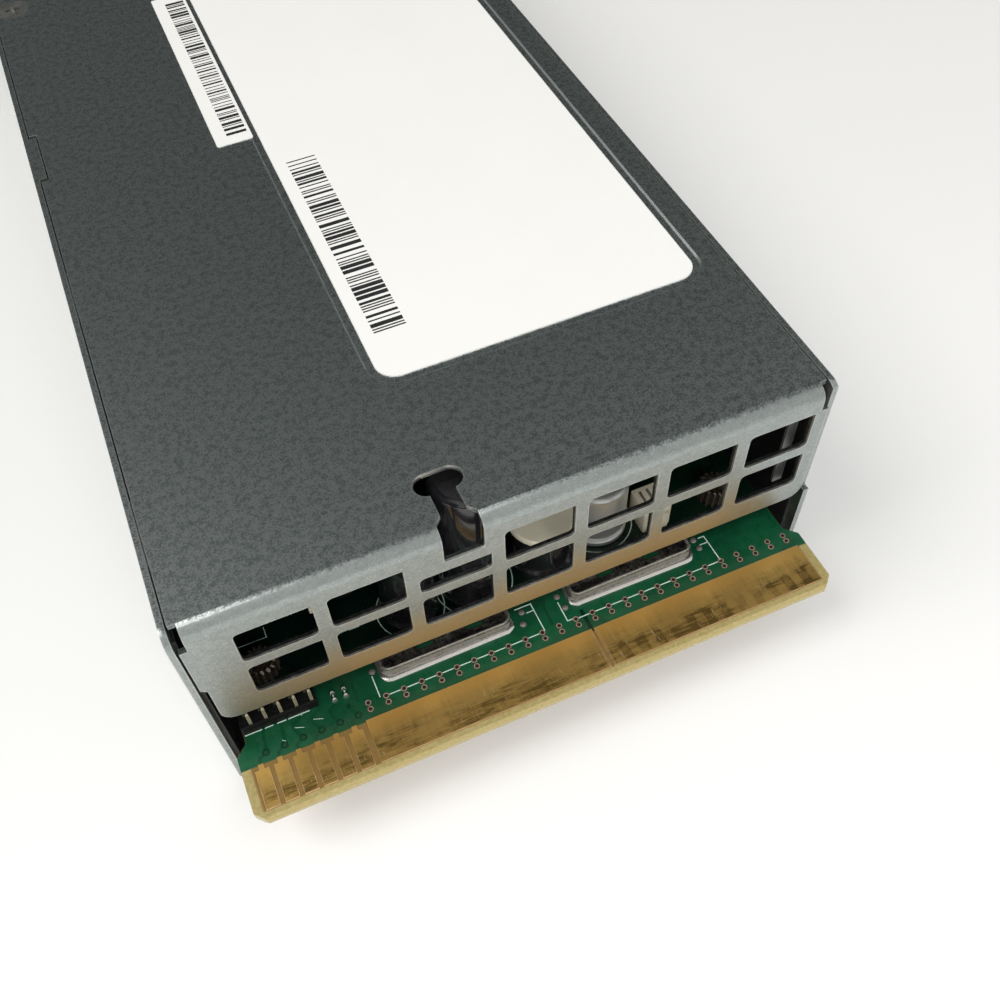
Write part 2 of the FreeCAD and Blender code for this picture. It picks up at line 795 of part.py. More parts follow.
def board():
    """The main board, with the card edge tab in front and the inlet's tongue behind."""
    root = deep(-wall_nose - tab_root)
    end = deep(board_end)
    outline = [
        (board_half, end), (board_half, root), (tab_half, deep(-tab_flare)),
        (tab_half, deep(-tab_reach + tab_chamfer)), (tab_half - tab_chamfer, deep(-tab_reach)),
        (tab_chamfer - tab_half, deep(-tab_reach)), (-tab_half, deep(-tab_reach + tab_chamfer)),
        (-tab_half, deep(-tab_flare)), (-board_half, root), (-board_half, end),
        (tongue_left - board_half, end), (tongue_left - board_half, end + tongue_l),
        (fan_x - fan_w / 2 - tongue_gap, end + tongue_l), (fan_x - fan_w / 2 - tongue_gap, end),
    ]
    plate = polygon([(x, y, board_under) for x, y in outline]).extrude(V(0, 0, board_t))
    tip = deep(-tab_reach)
    for face, up in ((board_top, 1), (board_under, -1)):
        over = face + up * tab_bevel
        wedge = polygon([(-case_w, tip - tab_bevel, over), (-case_w, tip + 2 * tab_bevel, over),
                         (-case_w, tip - tab_bevel, over - 3 * up * tab_bevel)])
        plate = plate.cut(wedge.extrude(V(2 * case_w, 0, 0)))
    holes = [pilot(V(x, y, board_top), board_screw_l, screw_hole_gap) for x, y in standoff_places()]
    return cut(plate, holes + header_pins())


def pad_x(index):
    return (index - (pad_count - 1) / 2) * pad_pitch


def finger(index, z):
    """A narrow contact finger with the neck of its trace."""
    x = pad_x(index)
    back = deep(-pad_back)
    pad = box(x - pad_w / 2, x + pad_w / 2, deep(-pad_front), back, z, z + copper)
    neck = box(x - pad_neck_w / 2, x + pad_neck_w / 2, back, back + pad_neck_l, z, z + copper)
    return fuse([pad, neck])


def blade_edge(run):
    """The line between two runs of contact places, on the upper face."""
    shift = blade_shift if run else 0
    return pad_x(small_pads + run * blade_places) - pad_pitch / 2 + shift


def wide_blade(run, side, z):
    ends = (side * (blade_edge(run) + blade_gap / 2), side * (blade_edge(run + 1) - blade_gap / 2))
    return box(min(ends), max(ends), deep(-pad_front), deep(-blade_back), z, z + copper)


def contacts():
    """Narrow fingers and wide blades, the lower face's set turned over."""
    below = board_under - copper
    fingers = [finger(index, board_top) for index in range(small_pads)]
    fingers += [finger(pad_count - 1 - index, below) for index in range(small_pads)]
    blades = [wide_blade(run, side, z) for run in (0, 1) for side, z in ((1, board_top), (-1, below))]
    return fingers, blades


# ---- parts beside the grille ------------------------------------------------------------------
def bus_bar(x):
    """A tinned channel soldered over the power contacts' rows of vias."""
    mid = V(x, deep(bar_depth) + bar_d / 2, board_top)
    foot = round_slab(bar_w, bar_d, bar_foot_h, bar_r, mid)
    crown = box(mid.x - bar_w / 2 + bar_foot, mid.x + bar_w / 2 - bar_foot, mid.y - bar_d / 2 + bar_foot,
                mid.y + bar_d / 2 - bar_foot, board_top, board_top + bar_h)
    bar = fuse([foot, bevel_top(crown, bar_foot)])
    slots = []
    for side in (-1, 1):
        middle = mid.x + side * bar_w / 4
        slots.append(box(middle - bar_slot_w / 2, middle + bar_slot_w / 2, mid.y - bar_slot_l / 2,
                         mid.y + bar_slot_l / 2, board_top - 1, board_top + bar_h + 1))
    return cut(bar, slots)


def header_places():
    first = -board_half + header_side
    return [first + index * header_pitch for index in range(header_pins_n)]


def header_pins():
    """Square pins pressed through the header's body and the board."""
    y = deep(header_depth + header_d / 2)
    half = pin_t / 2
    low = board_under - pin_tail
    high = board_top + header_h + pin_rise
    return [box(x - half, x + half, y - half, y + half, low, high) for x in header_places()]


def header_body():
    places = header_places()
    length = header_pins_n * header_pitch
    middle = (places[0] + places[-1]) / 2
    return cut(block(middle, header_depth, length, header_d, header_h), header_pins())


def stand(x, depth):
    """A point on the board's upper face."""
    return V(across(x), deep(along(depth)), board_top)


def can(x, depth, radius, height):
    """A standing can capacitor."""
    return rod(radius * radius_unit, rise(height), stand(x, depth))


def part_box(x, depth, w, l, h):
    return block(across(x), along(depth), across(w), along(l), rise(h))


def wound_ring(x, depth, outer, inner, height, turns):
    """A flat ring choke; its turns of wire stand out as ridges round the ring."""
    middle = stand(x, depth)
    points = []
    for step in range(2 * turns):
        radius = outer * radius_unit - wire_d * (step % 2)
        turn = math.pi * step / turns
        points.append(middle + V(radius * math.cos(turn), radius * math.sin(turn), 0))
    wound = polygon(points).extrude(V(0, 0, rise(height)))
    return wound.cut(rod(inner * radius_unit, rise(height), middle))


def drum_choke(x, depth, radius, height):
    """A drum choke under a moulded pale cap."""
    body_h = rise(height) - cap_t
    base = stand(x, depth)
    outer = radius * radius_unit
    body = rod(outer - drum_inset, body_h, base)
    return body, rod(outer, cap_t, base + V(0, 0, body_h))


def control_card():
    """The upright controller card on the board's left, with its chips."""
    x, depth = card_place
    card = block(across(x), along(depth), card_t, along(card_l), room)
    x0 = across(x) - card_t / 2
    chips = []
    for start, height, length, tall in card_chips:
        y0 = deep(along(depth + start * card_l))
        z0 = board_top + rise(height)
        chips.append(box(x0 - card_chip_t, x0, y0, y0 + along(length * card_l), z0, z0 + rise(tall)))
    return card, chips


def moulded(x, depth, w, l, h):
    """A potted film capacitor or relay: a box with a bevelled top."""
    return bevel_top(part_box(x, depth, w, l, h), soft_top)


def transformer(x, depth):
    """Main transformer: a ferrite core round a taped winding and its base."""
    core = block(across(x), along(depth), across(core_w), along(core_l), room, board_top + core_lift)
    seat = board_top + core_lift + core_foot
    start = along(depth) + winding_gap
    winding_l = along(core_l) - 2 * winding_gap
    winding = block(across(x), start, across(winding_w), winding_l, room - winding_inset, seat)
    upright = [e for e in winding.Edges if e.BoundBox.ZLength > 1]
    winding = winding.makeChamfer(winding_bevel, upright)
    bobbin_w = across(winding_w) - 2 * bobbin_inset
    foot = block(across(x), start, bobbin_w, winding_l, seat - board_top)
    return core.cut(winding).cut(foot), fuse([winding, foot])


def finned_sink(x0, x1, depth):
    """Extruded sink for the output rectifiers, its fins towards the grille."""
    spine_y = deep(depth) + fin_l
    top = board_top + room
    fins = [box(x0, x1, spine_y, spine_y + sink_t, board_top, top)]
    z = board_top + fin_pitch / 2
    while z + fin_t < top:
        fins.append(box(x0, x1, deep(depth), spine_y, z, z + fin_t))
        z += fin_pitch
    return fuse(fins)


def power_package(x, y):
    """A three-legged power package, its tab against the sink at y."""
    z0 = board_top + leg_l
    body = box(x - package_w / 2, x + package_w / 2, y, y + package_t, z0, z0 + package_h)
    leg_y = y + package_t / 2
    half = leg_t / 2
    legs = [box(x + i * leg_pitch - half, x + i * leg_pitch + half, leg_y - half, leg_y + half, board_top, z0)
            for i in (-1, 0, 1)]
    return fuse([body] + legs)


def reservoir(depth, length):
    """The mains reservoir capacitor, lying along the case in a moulded cradle."""
    radius = (cover_under - board_top) / 2 - ring_room
    x = wall_in - film_t - bulk_gap - radius
    base = V(x, deep(depth), board_top + radius + bulk_lift)
    body = rod(radius, length, base, INWARDS)
    y0 = deep(depth + cradle_inset)
    y1 = deep(depth + length - cradle_inset)
    cradle = box(x - cradle_half, x + cradle_half, y0, y1, board_top, board_top + cradle_h)
    return body, cradle.cut(body)


def mains_fuse(x, depth):
    """A glass fuse lying across the board in two clips."""
    half = fuse_r + fuse_lift
    tube = rod(fuse_r, fuse_l, V(x - fuse_l / 2, deep(depth), board_top + half), ACROSS)
    clips = []
    for side in (-1, 1):
        middle = x + side * (fuse_l - clip_w) / 2
        clip = block(middle, depth - half, clip_w, 2 * half, clip_h)
        clips.append(clip.cut(tube))
    return tube, clips


# ---- mains inlet --------------------------------------------------------------------------------
def inlet_pin(x, z):
    """A flat contact pin whose tail bends down to the board's tongue."""
    half = 1.0
    tail_y = deep(board_end) + tongue_l - 3.0
    blade = box(x - half, x + half, inlet_back, front_y - pin_recess, z - 2.0, z + 2.0)
    tail = box(x - half, x + half, tail_y, inlet_back, z - 0.8, z + 0.8)
    drop = box(x - half, x + half, tail_y, tail_y + 1.6, board_top, z)
    return fuse([blade, tail, drop])


def inlet():
    """Appliance inlet: a rimmed housing, its shaped socket and three flat pins."""
    body = box(inlet_x - inlet_w / 2, inlet_x + inlet_w / 2, inlet_back, front_y,
               inlet_z - inlet_h / 2, inlet_z + inlet_h / 2)
    rim = round_slab(inlet_w + 2 * inlet_rim_w, inlet_h + 2 * inlet_rim_w, inlet_rim_t, 2.0,
                     V(inlet_x, front_y, inlet_z), "Y")
    a = socket_w / 2
    b = socket_h / 2
    slope = socket_corner
    mouth = [(-a, -b), (a, -b), (a, b - slope), (a - slope, b), (-a + slope, b), (-a, b - slope)]
    y0 = inlet_back + socket_wall
    socket = polygon([(inlet_x + x, y0, inlet_z + z) for x, z in mouth]).extrude(V(0, inlet_l + 5, 0))
    spread = pin_spread * socket_w
    pins = [inlet_pin(inlet_x + x, inlet_z + z) for x, z in ((-spread, -2.0), (spread, -2.0), (0.0, 2.0))]
    return cut(fuse([body, rim]), [socket] + pins), pins


# ---- fan ----------------------------------------------------------------------------------------
def fan_rod(radius, start, length):
    """A round bar on the fan's axis, from a distance in front of its inner face."""
    return rod(radius, length, V(fan_x, fan_back + start, fan_z), INWARDS)


def fan_frame():
    """Two flanges on an eight-sided shroud, with the motor's seat on four ribs."""
    flanges = []
    for start in (0, fan_t - fan_flange_t):
        mid = V(fan_x, fan_back + start, fan_z)
        plate = box(mid.x - fan_w / 2, mid.x + fan_w / 2, mid.y, mid.y + fan_flange_t,
                    mid.z - fan_w / 2, mid.z + fan_w / 2)
        corners = [e for e in plate.Edges if e.BoundBox.YLength > 1]
        flanges.append(plate.makeChamfer(fan_corner, corners))
    half = fan_bore + fan_wall
    shroud = box(fan_x - half, fan_x + half, fan_back, fan_face, fan_z - half, fan_z + half)
    corners = [e for e in shroud.Edges if e.BoundBox.YLength > 1]
    shroud = shroud.makeChamfer(half * (2 - math.sqrt(2)), corners)
    shell = fuse(flanges + [shroud]).cut(fan_rod(fan_bore, 0, fan_t))
    holes = [pilot(V(x, fan_face, z), 2 * fan_flange_t, 0, INWARDS) for x, z in fan_hole_places()]
    parts = [shell.cut(Part.makeCompound(holes))]
    parts.append(fan_rod(fan_hub_r, 0, fan_seat_t))
    parts.append(fan_rod(fan_tube_r, 0, fan_tube_l))
    for turn in range(4):
        rib = box(fan_hub_r - 1, fan_bore + fan_wall / 2, 0, fan_seat_t, -fan_rib_w / 2, fan_rib_w / 2)
        rib.rotate(V(0, 0, 0), INWARDS, 90 * turn + 20)
        rib.translate(V(fan_x, fan_back, fan_z))
        parts.append(rib)
    return fuse(parts).cut(fan_rod(fan_axle_r + fan_fit, fan_seat_t - fan_bore_in, fan_tube_l))


def fan_stator():
    """The motor's square wound stack, on the bearing tube and down to its seat."""
    half = (fan_cup_r - fan_stack_gap) * math.sqrt(0.5)
    y0 = fan_back + fan_seat_t
    stack = box(fan_x - half, fan_x + half, y0, y0 + fan_stack_l, fan_z - half, fan_z + half)
    return stack.cut(fan_rod(fan_tube_r, 0, fan_t))


def blade_section(radius):
    """A blade section bent in three flats, square to the radius through its middle."""
    half = blade_chord / 2
    high = blade_camber + blade_t
    section = polygon([(-half, 0, 0), (-half / 3, high, 0), (half / 3, high, 0), (half, 0, 0),
                       (half / 3, blade_camber, 0), (-half / 3, blade_camber, 0)])
    section.rotate(V(0, 0, 0), UP, blade_pitch)
    section.translate(V(0, 0, radius))
    return section


def fan_rotor():
    """Impeller: a motor cup with cambered blades set at a pitch."""
    start = fan_seat_t + fan_seat_gap
    hub_r = fan_hub_r - 0.3
    cup = fan_rod(hub_r, start, fan_cup_l)
    nose = [e for e in cup.Edges if e.BoundBox.YMin > fan_back + start + fan_cup_l - 0.01]
    cup = cup.makeChamfer(fan_cup_bevel, nose)
    reach = fan_bore - fan_tip_gap
    half_w = blade_chord / 2 * math.cos(math.radians(blade_pitch))
    blade = blade_section(hub_r - 1).extrude(V(0, 0, math.sqrt(reach ** 2 - half_w ** 2) - hub_r + 1))
    middle = V(fan_x, fan_back + start + fan_cup_l / 2, fan_z)
    blade.translate(middle)
    blades = []
    for index in range(blade_count):
        copy = blade.copy()
        copy.rotate(middle, INWARDS, 360.0 * index / blade_count)
        blades.append(copy)
    inside = start + fan_cup_l - fan_cup_end
    solid = cup.multiFuse(blades).cut(fan_rod(fan_cup_r, 0, inside))
    solid = solid.fuse(fan_rod(fan_boss_r, inside - fan_boss_l, fan_boss_l + fan_cup_end / 2))
    return solid.cut(fan_rod(fan_axle_r, 0, fan_t)).removeSplitter()


# ---- handle and latch --------------------------------------------------------------------------
def handle():
    """Moulded pull loop with bevelled edges, its feet against the front wall."""
    tall = case_h - 2 * handle_margin
    loop = round_slab(2 * handle_reach, tall, handle_w, handle_corner, V(0, 0, 0))
    inner_w = 2 * (handle_reach - handle_bar)
    gap = round_slab(inner_w, tall - 2 * handle_bar, handle_w, handle_inner_corner, V(0, 0, 0))
    loop = loop.cut(gap).common(box(0, handle_reach + 1, -tall, tall, -1, handle_w + 1))
    flat = [e for e in loop.Edges if e.BoundBox.ZLength < 0.01]
    outer = [e for e in flat if e.BoundBox.XMax > inner_w / 2 + 0.01]
    sides = [e for e in flat if e.BoundBox.YLength < 0.01 and abs(e.CenterOfMass.y) > tall / 2 - 0.01]
    loop = loop.makeChamfer(handle_soft, outer + [e for e in sides if e not in outer])
    loop.rotate(V(0, 0, 0), V(1, 1, 1), 120)
    loop.translate(V(handle_x - handle_w / 2, front_y, case_h / 2))
    holes = [pilot(V(handle_x, fan_face, z), handle_screw_l, 0, -INWARDS) for z in handle_screw_heights()]
    return cut(loop, holes)


def latch_lever():
    """Side latch: hub, arm and wedge tooth in one strip, moulded over at its end."""
    arm = box(latch_x0, latch_x1, pivot.y, front_y + latch_tail, latch_low, latch_high)
    hub_r = latch_pin_r + latch_hub
    ear = box(latch_x0, latch_x1, pivot.y - hub_r, pivot.y + spring_leg + 1, latch_low, latch_high + 2.6)
    hub = rod(hub_r, latch_h, V(pivot.x, pivot.y, latch_low))
    web = box(latch_x0, pivot.x, pivot.y - hub_r, pivot.y + hub_r, latch_low, latch_high)
    tip_x = -case_w / 2 - latch_tooth_out
    root_x = latch_x0 + latch_t / 3
    end_y = tooth_y + latch_tooth_l
    wedge = [(root_x, tooth_y), (tip_x, end_y - 1.6), (tip_x, end_y), (root_x, end_y)]
    tooth = polygon([(x, y, latch_low) for x, y in wedge]).extrude(V(0, 0, latch_h))
    bore = rod(latch_pin_r + latch_fit, case_h, V(pivot.x, pivot.y, 0))
    return fuse([arm, ear, hub, web, tooth]).cut(bore)


def latch_pad():
    """Thumb pad over the lever's outer end, with grip ribs."""
    x0 = -case_w / 2 + cover_gap
    y1 = front_y + latch_tail + pad_end
    y0 = y1 - pad_l
    low = latch_low - pad_over
    high = latch_high + pad_over
    pad = box(x0, x0 + pad_t, y0, y1, low, high)
    pad = pad.makeChamfer(pad_soft, pad.Edges)
    pocket = box(latch_x0, latch_x1, y0 - 1, front_y + latch_tail, latch_low, latch_high)
    starts = [y0 + grip_pitch * (index + 1) for index in range(grip_count)]
    grooves = [box(x0 - 1, x0 + grip_deep, y, y + grip_w, low - 1, high + 1) for y in starts]
    return cut(pad, [pocket] + grooves)


def latch_pin():
    """Pivot pin riveted in the bracket, with a head that keeps the spring on."""
    low = latch_seat_z - sheet
    high = latch_high + 2 * spring_wire * (spring_turns + 0.5)
    shank = rod(latch_pin_r, high - low, V(pivot.x, pivot.y, low))
    return shank.fuse(rod(latch_pin_r + pin_head_rim, sheet, V(pivot.x, pivot.y, high)))


def latch_spring():
    """Torsion spring: stacked coils round the pin, one leg on the lever, one at the ear."""
    coil_r = pivot.x - latch_x1 - spring_wire
    pitch = 2 * spring_wire
    base = V(pivot.x, pivot.y, latch_high)
    coils = [rod(coil_r + spring_wire, spring_turns * pitch, base)]
    inner = rod(latch_pin_r + 0.1, spring_turns * pitch, base)
    leg = box(latch_x1, latch_x1 + pitch, pivot.y, pivot.y + spring_leg, latch_high, latch_high + pitch)
    top = latch_high + (spring_turns - 1) * pitch
    stay = box(pivot.x, pivot.x + latch_pivot_side - 0.2, pivot.y - coil_r - spring_wire,
               pivot.y - coil_r + spring_wire, top, top + pitch)
    return fuse(coils + [leg, stay]).cut(inner)


# ---- small parts ---------------------------------------------------------------------------------
def standoff(x, y):
    height = board_under - sheet
    return hexagon(standoff_af / 2, height, V(x, y, sheet)).cut(pilot(V(x, y, board_under), height))


def rating_label():
    middle = V(label_x, deep(label_depth) + label_l / 2, case_h - emboss)
    return round_slab(label_w, label_l, paper, label_r, middle)


def barcode_label():
    x1 = label_x - label_w / 2 - barcode_gap
    y0 = deep(barcode_depth)
    return box(x1 - barcode_w, x1, y0, y0 + barcode_l, case_h, case_h + paper)


def main():
    os.makedirs("parts", exist_ok=True)
    save("chassis_tray", tray())
    save("top_cover", cover())
    save("ground_spring", ground_spring())
    save("insulator_sheet", liner())
    save("rating_label", rating_label())
    save("barcode_label", barcode_label())
    seats = [V(side * screw_x, deep(screw_depth), case_h) for side in (-1, 1)]
    save("cover_screws", [flat_screw(seat, flat_screw_l) for seat in seats])

    fingers, blades = contacts()
    save("main_board", board())
    save("signal_fingers", fingers)
    save("power_blades", blades)
    save("board_standoffs", [standoff(x, y) for x, y in standoff_places()])
    save("board_screws", [hex_screw(V(x, y, board_top), UP, board_screw_l) for x, y in standoff_places()])

    save("bus_bars", [bus_bar(across(x)) for x in bar_places])
    save("signal_header", header_body())
    save("header_pins", header_pins())
    save("chip_capacitors", [part_box(x, chip_depth, *chip_cap) for x in chip_cap_places])
    save("output_capacitors", [can(*sizes) for sizes in output_cans])
    save("polymer_capacitors", [can(*sizes) for sizes in polymer_cans])
    body, lid = drum_choke(*drum)
    save("drum_choke", body)
    save("choke_cap", lid)
    save("ring_chokes", [wound_ring(side * ring_place, *ring, ring_turns) for side in (-1, 1)])
    save("sense_connector", part_box(*sense_plug))
    card, chips = control_card()
    save("control_card", card)
    save("control_chips", chips)
    save("film_capacitors", [moulded(*sizes) for sizes in film_cans])

    core, winding = transformer(*main_transformer)
    save("transformer_core", core)
    save("transformer_winding", winding)
    sink_x, sink_depth = across(sink_place[0]), along(sink_place[1])
    save("rectifier_heatsink", finned_sink(sink_x, board_half - sink_side, sink_depth))
    back = deep(sink_depth) + fin_l + sink_t
    save("rectifier_transistors", [power_package(across(x), back) for x in rectifier_places])
    sink_x = sink_edge - board_half
    start = deep(along(primary_depth))
    back = start + sink_t
    end_x = sink_x + across(primary_w)
    save("primary_heatsink", box(sink_x, end_x, start, back, board_top, board_top + room))
    save("primary_transistors", [power_package(across(x), back) for x in primary_places])
    save("boost_choke", wound_ring(*boost_ring, boost_turns))
    save("filter_choke", wound_ring(*filter_ring, filter_turns))
    body, cradle = reservoir(along(reservoir_depth), along(reservoir_l))
    save("bulk_capacitor", body)
    save("capacitor_cradle", cradle)
    save("relay", moulded(*relay_box))
    tube, clips = mains_fuse(across(fuse_place[0]), along(fuse_place[1]))
    save("mains_fuse", tube)
    save("fuse_clips", clips)
    save("x_capacitors", [moulded(*sizes) for sizes in x_cap_boxes])
    save("y_capacitors", [moulded(*sizes) for sizes in y_cap_boxes])

    housing, pins = inlet()
    save("mains_inlet", housing)
    save("inlet_pins", pins)
    save("fan_frame", fan_frame())
    save("fan_stator", fan_stator())
    save("fan_rotor", fan_rotor())
    save("fan_shaft", fan_rod(fan_axle_r, fan_seat_t, fan_cup_l + 0.4))
    save("fan_screws", [pan_screw(V(x, front_y, z), INWARDS, fan_screw_l) for x, z in fan_hole_places()])
    save("pull_handle", handle())
    heights = handle_screw_heights()
    save("handle_screws", [hex_screw(V(handle_x, fan_face, z), -INWARDS, handle_screw_l) for z in heights])
    save("status_lens", rod(lens_r, lens_l, V(lens_x, front_y + 0.6 - lens_l, lens_z), INWARDS))
    save("latch_lever", latch_lever())
    save("latch_pad", latch_pad())
    save("latch_pin", latch_pin())
    save("latch_spring", latch_spring())


main()
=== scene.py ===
import json
import math
import random
import bmesh
import bpy
from mathutils import Matrix, Vector


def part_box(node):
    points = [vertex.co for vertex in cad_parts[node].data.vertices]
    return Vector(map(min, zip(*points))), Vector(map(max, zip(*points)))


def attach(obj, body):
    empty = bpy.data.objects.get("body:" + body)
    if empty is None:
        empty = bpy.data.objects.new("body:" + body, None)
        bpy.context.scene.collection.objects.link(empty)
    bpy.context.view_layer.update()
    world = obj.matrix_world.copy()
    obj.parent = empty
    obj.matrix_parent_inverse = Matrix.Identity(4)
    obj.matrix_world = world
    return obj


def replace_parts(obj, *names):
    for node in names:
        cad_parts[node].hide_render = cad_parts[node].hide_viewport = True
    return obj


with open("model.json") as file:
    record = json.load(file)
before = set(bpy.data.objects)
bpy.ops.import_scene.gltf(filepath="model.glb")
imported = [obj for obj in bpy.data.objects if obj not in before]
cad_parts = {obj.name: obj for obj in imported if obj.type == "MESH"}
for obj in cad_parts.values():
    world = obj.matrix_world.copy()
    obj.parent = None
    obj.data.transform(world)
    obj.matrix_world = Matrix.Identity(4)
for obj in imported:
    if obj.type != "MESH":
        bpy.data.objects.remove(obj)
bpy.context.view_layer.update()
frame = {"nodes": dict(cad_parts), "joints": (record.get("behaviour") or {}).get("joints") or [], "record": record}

bl_info = {
    "name": "Hot swap power supply",
    "version": (1, 0, 0),
    "blender": (4, 5, 0),
    "location": "3D View > Sidebar > Power supply",
    "description": "Finishes and fine pieces of a rack server's hot swap power supply",
    "category": "Object",
}

MM = 0.001


# ---- places, in millimetres --------------------------------------------------------------
def low(node):
    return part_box(node)[0] / MM


def high(node):
    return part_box(node)[1] / MM


GRILLE_Y = low("top_cover").y
BOARD_TOP = high("main_board").z

# Depths count from the grille's outer face into the case; those in front of it are negative.
PITCH = 2.54                # between two contact places of the card edge
PLACES = 32                 # contact places side by side
NARROW = 6                  # the first of them are narrow fingers, the rest two wide blades
TAB_HALF = 40.9             # half the width that the contacts take up
MASK_EDGE = -4.4            # the solder mask ends here, and the contacts begin
CONTACT_END = -10.4
VIA_SHIFT = 0.3             # from a contact place's middle to its vias
VIA_DEPTHS = (-1.96, -2.92)
FRONT_LINE = -1.75          # printed line along the front of the bus bars
PRINT_THICK = 0.025
GAP_X = 7.95                # dark gap in the copper between the two blades
CARD_PRINT = ([(-37.6, 13.1), (-33.5, 13.1), (-33.5, 14.7)], [(-22.6, 9.4), (-21.2, 9.4)])
BOARD_PRINT = (
    [(-40.1, 0.6), (-40.1, 0.2), (-37.9, 0.2)], [(-37.4, 0.2), (-36.4, 0.2)],
    [(-35.7, 0.2), (-34.6, 0.2)], [(-34.2, 0.2), (-31.4, 0.2)], [(-32.5, 0.05), (-32.5, 0.5)],
    [(-22.1, 1.4), (-22.1, FRONT_LINE)], [(2.0, FRONT_LINE), (1.95, 2.8), (-0.4, 2.8)],
    [(1.85, 1.7), (0.9, 1.7)], [(5.5, 1.4), (5.5, FRONT_LINE), (6.3, FRONT_LINE)],
    [(29.5, FRONT_LINE), (29.4, 2.65), (28.5, 2.65)], [(29.3, 1.55), (28.2, 1.55)])
THIN_PRINT = ([(-33.8, -1.35), (-32.7, -1.75)], [(-31.2, -1.2), (-30.0, -1.65)],
              [(-35.8, -2.35), (-35.5, -2.6)])
MOUNDS = ((-21.86, 2.1), (0.25, 2.1), (-0.3, 0.3), (5.8, 2.3), (6.1, 0.3), (27.7, 2.65),
          (27.8, 1.15))
BAR_TRACES = ([(-25.0, -1.0), (-25.0, 1.2), (-24.2, 3.0)], [(3.4, -1.2), (3.4, 1.6), (4.2, 3.0)])


def deep(depth):
    """The Y of a depth behind the grille's outer face."""
    return GRILLE_Y + depth


def contact_x(index):
    """The X of a contact place, counted from the left."""
    return (index - (PLACES - 1) / 2) * PITCH


# ---- settings a user would change --------------------------------------------------------
def colour(name, description, default):
    return bpy.props.FloatVectorProperty(
        name=name, description=description, subtype="COLOR", size=4, min=0, max=1,
        default=(*default, 1))


def length(name, description, default):
    return bpy.props.FloatProperty(
        name=name, description=description, subtype="DISTANCE", unit="LENGTH", min=0,
        default=default)


def share(name, description, default):
    return bpy.props.FloatProperty(
        name=name, description=description, subtype="FACTOR", min=0, max=1, default=default)


class SupplyColours(bpy.types.PropertyGroup):
    zinc_dark: colour("Zinc, dark", "Dark grains of the zinc coat", (0.155, 0.185, 0.183))
    zinc_light: colour("Zinc, light", "Light grains of the zinc coat", (0.56, 0.595, 0.58))
    board: colour("Board", "Solder mask of the boards", (0.0035, 0.067, 0.027))
    laminate: colour("Laminate", "Bare glass laminate at the boards' edges", (0.425, 0.345, 0.155))
    gold: colour("Gold", "Fresh plating of the contacts", (0.95, 0.57, 0.158))
    gold_worn: colour("Worn gold", "Rubbed plating of the contacts", (0.17, 0.105, 0.028))
    tin: colour("Tin", "Tinned bars and joints", (0.46, 0.44, 0.40))
    print_white: colour("Print", "White lines printed on the board", (0.72, 0.90, 0.78))
    paper: colour("Paper", "Label stock", (0.95, 0.945, 0.92))
    backdrop: colour("Backdrop", "Surface under the supply", (0.93, 0.925, 0.915))


class SupplySizes(bpy.types.PropertyGroup):
    via_ring: length("Via ring", "Outer radius of a via's copper ring", 0.42 * MM)
    via_hole: length("Via hole", "Radius of a via's hole", 0.27 * MM)
    print_line: length("Printed line", "Width of a line printed on the board", 0.15 * MM)
    trace: length("Trace", "Width of a trace under the mask", 0.4 * MM)
    ring_radius: length("Ring choke", "Outer radius of the two small ring chokes", 2.4 * MM)
    edge_round: length("Soft edge", "Rounding of sheet edges", 0.12 * MM)
    edge_wear: share("Edge wear", "How bright rubbed edges are", 0.6)


def colours():
    return bpy.context.scene.supply_colours


def sizes():
    return bpy.context.scene.supply_sizes


# ---- shader trees ------------------------------------------------------------------------
def scaled(base, *factors):
    """A colour with its channels multiplied, and full alpha."""
    return tuple(channel * factor for channel, factor in zip(base, factors)) + (1,)


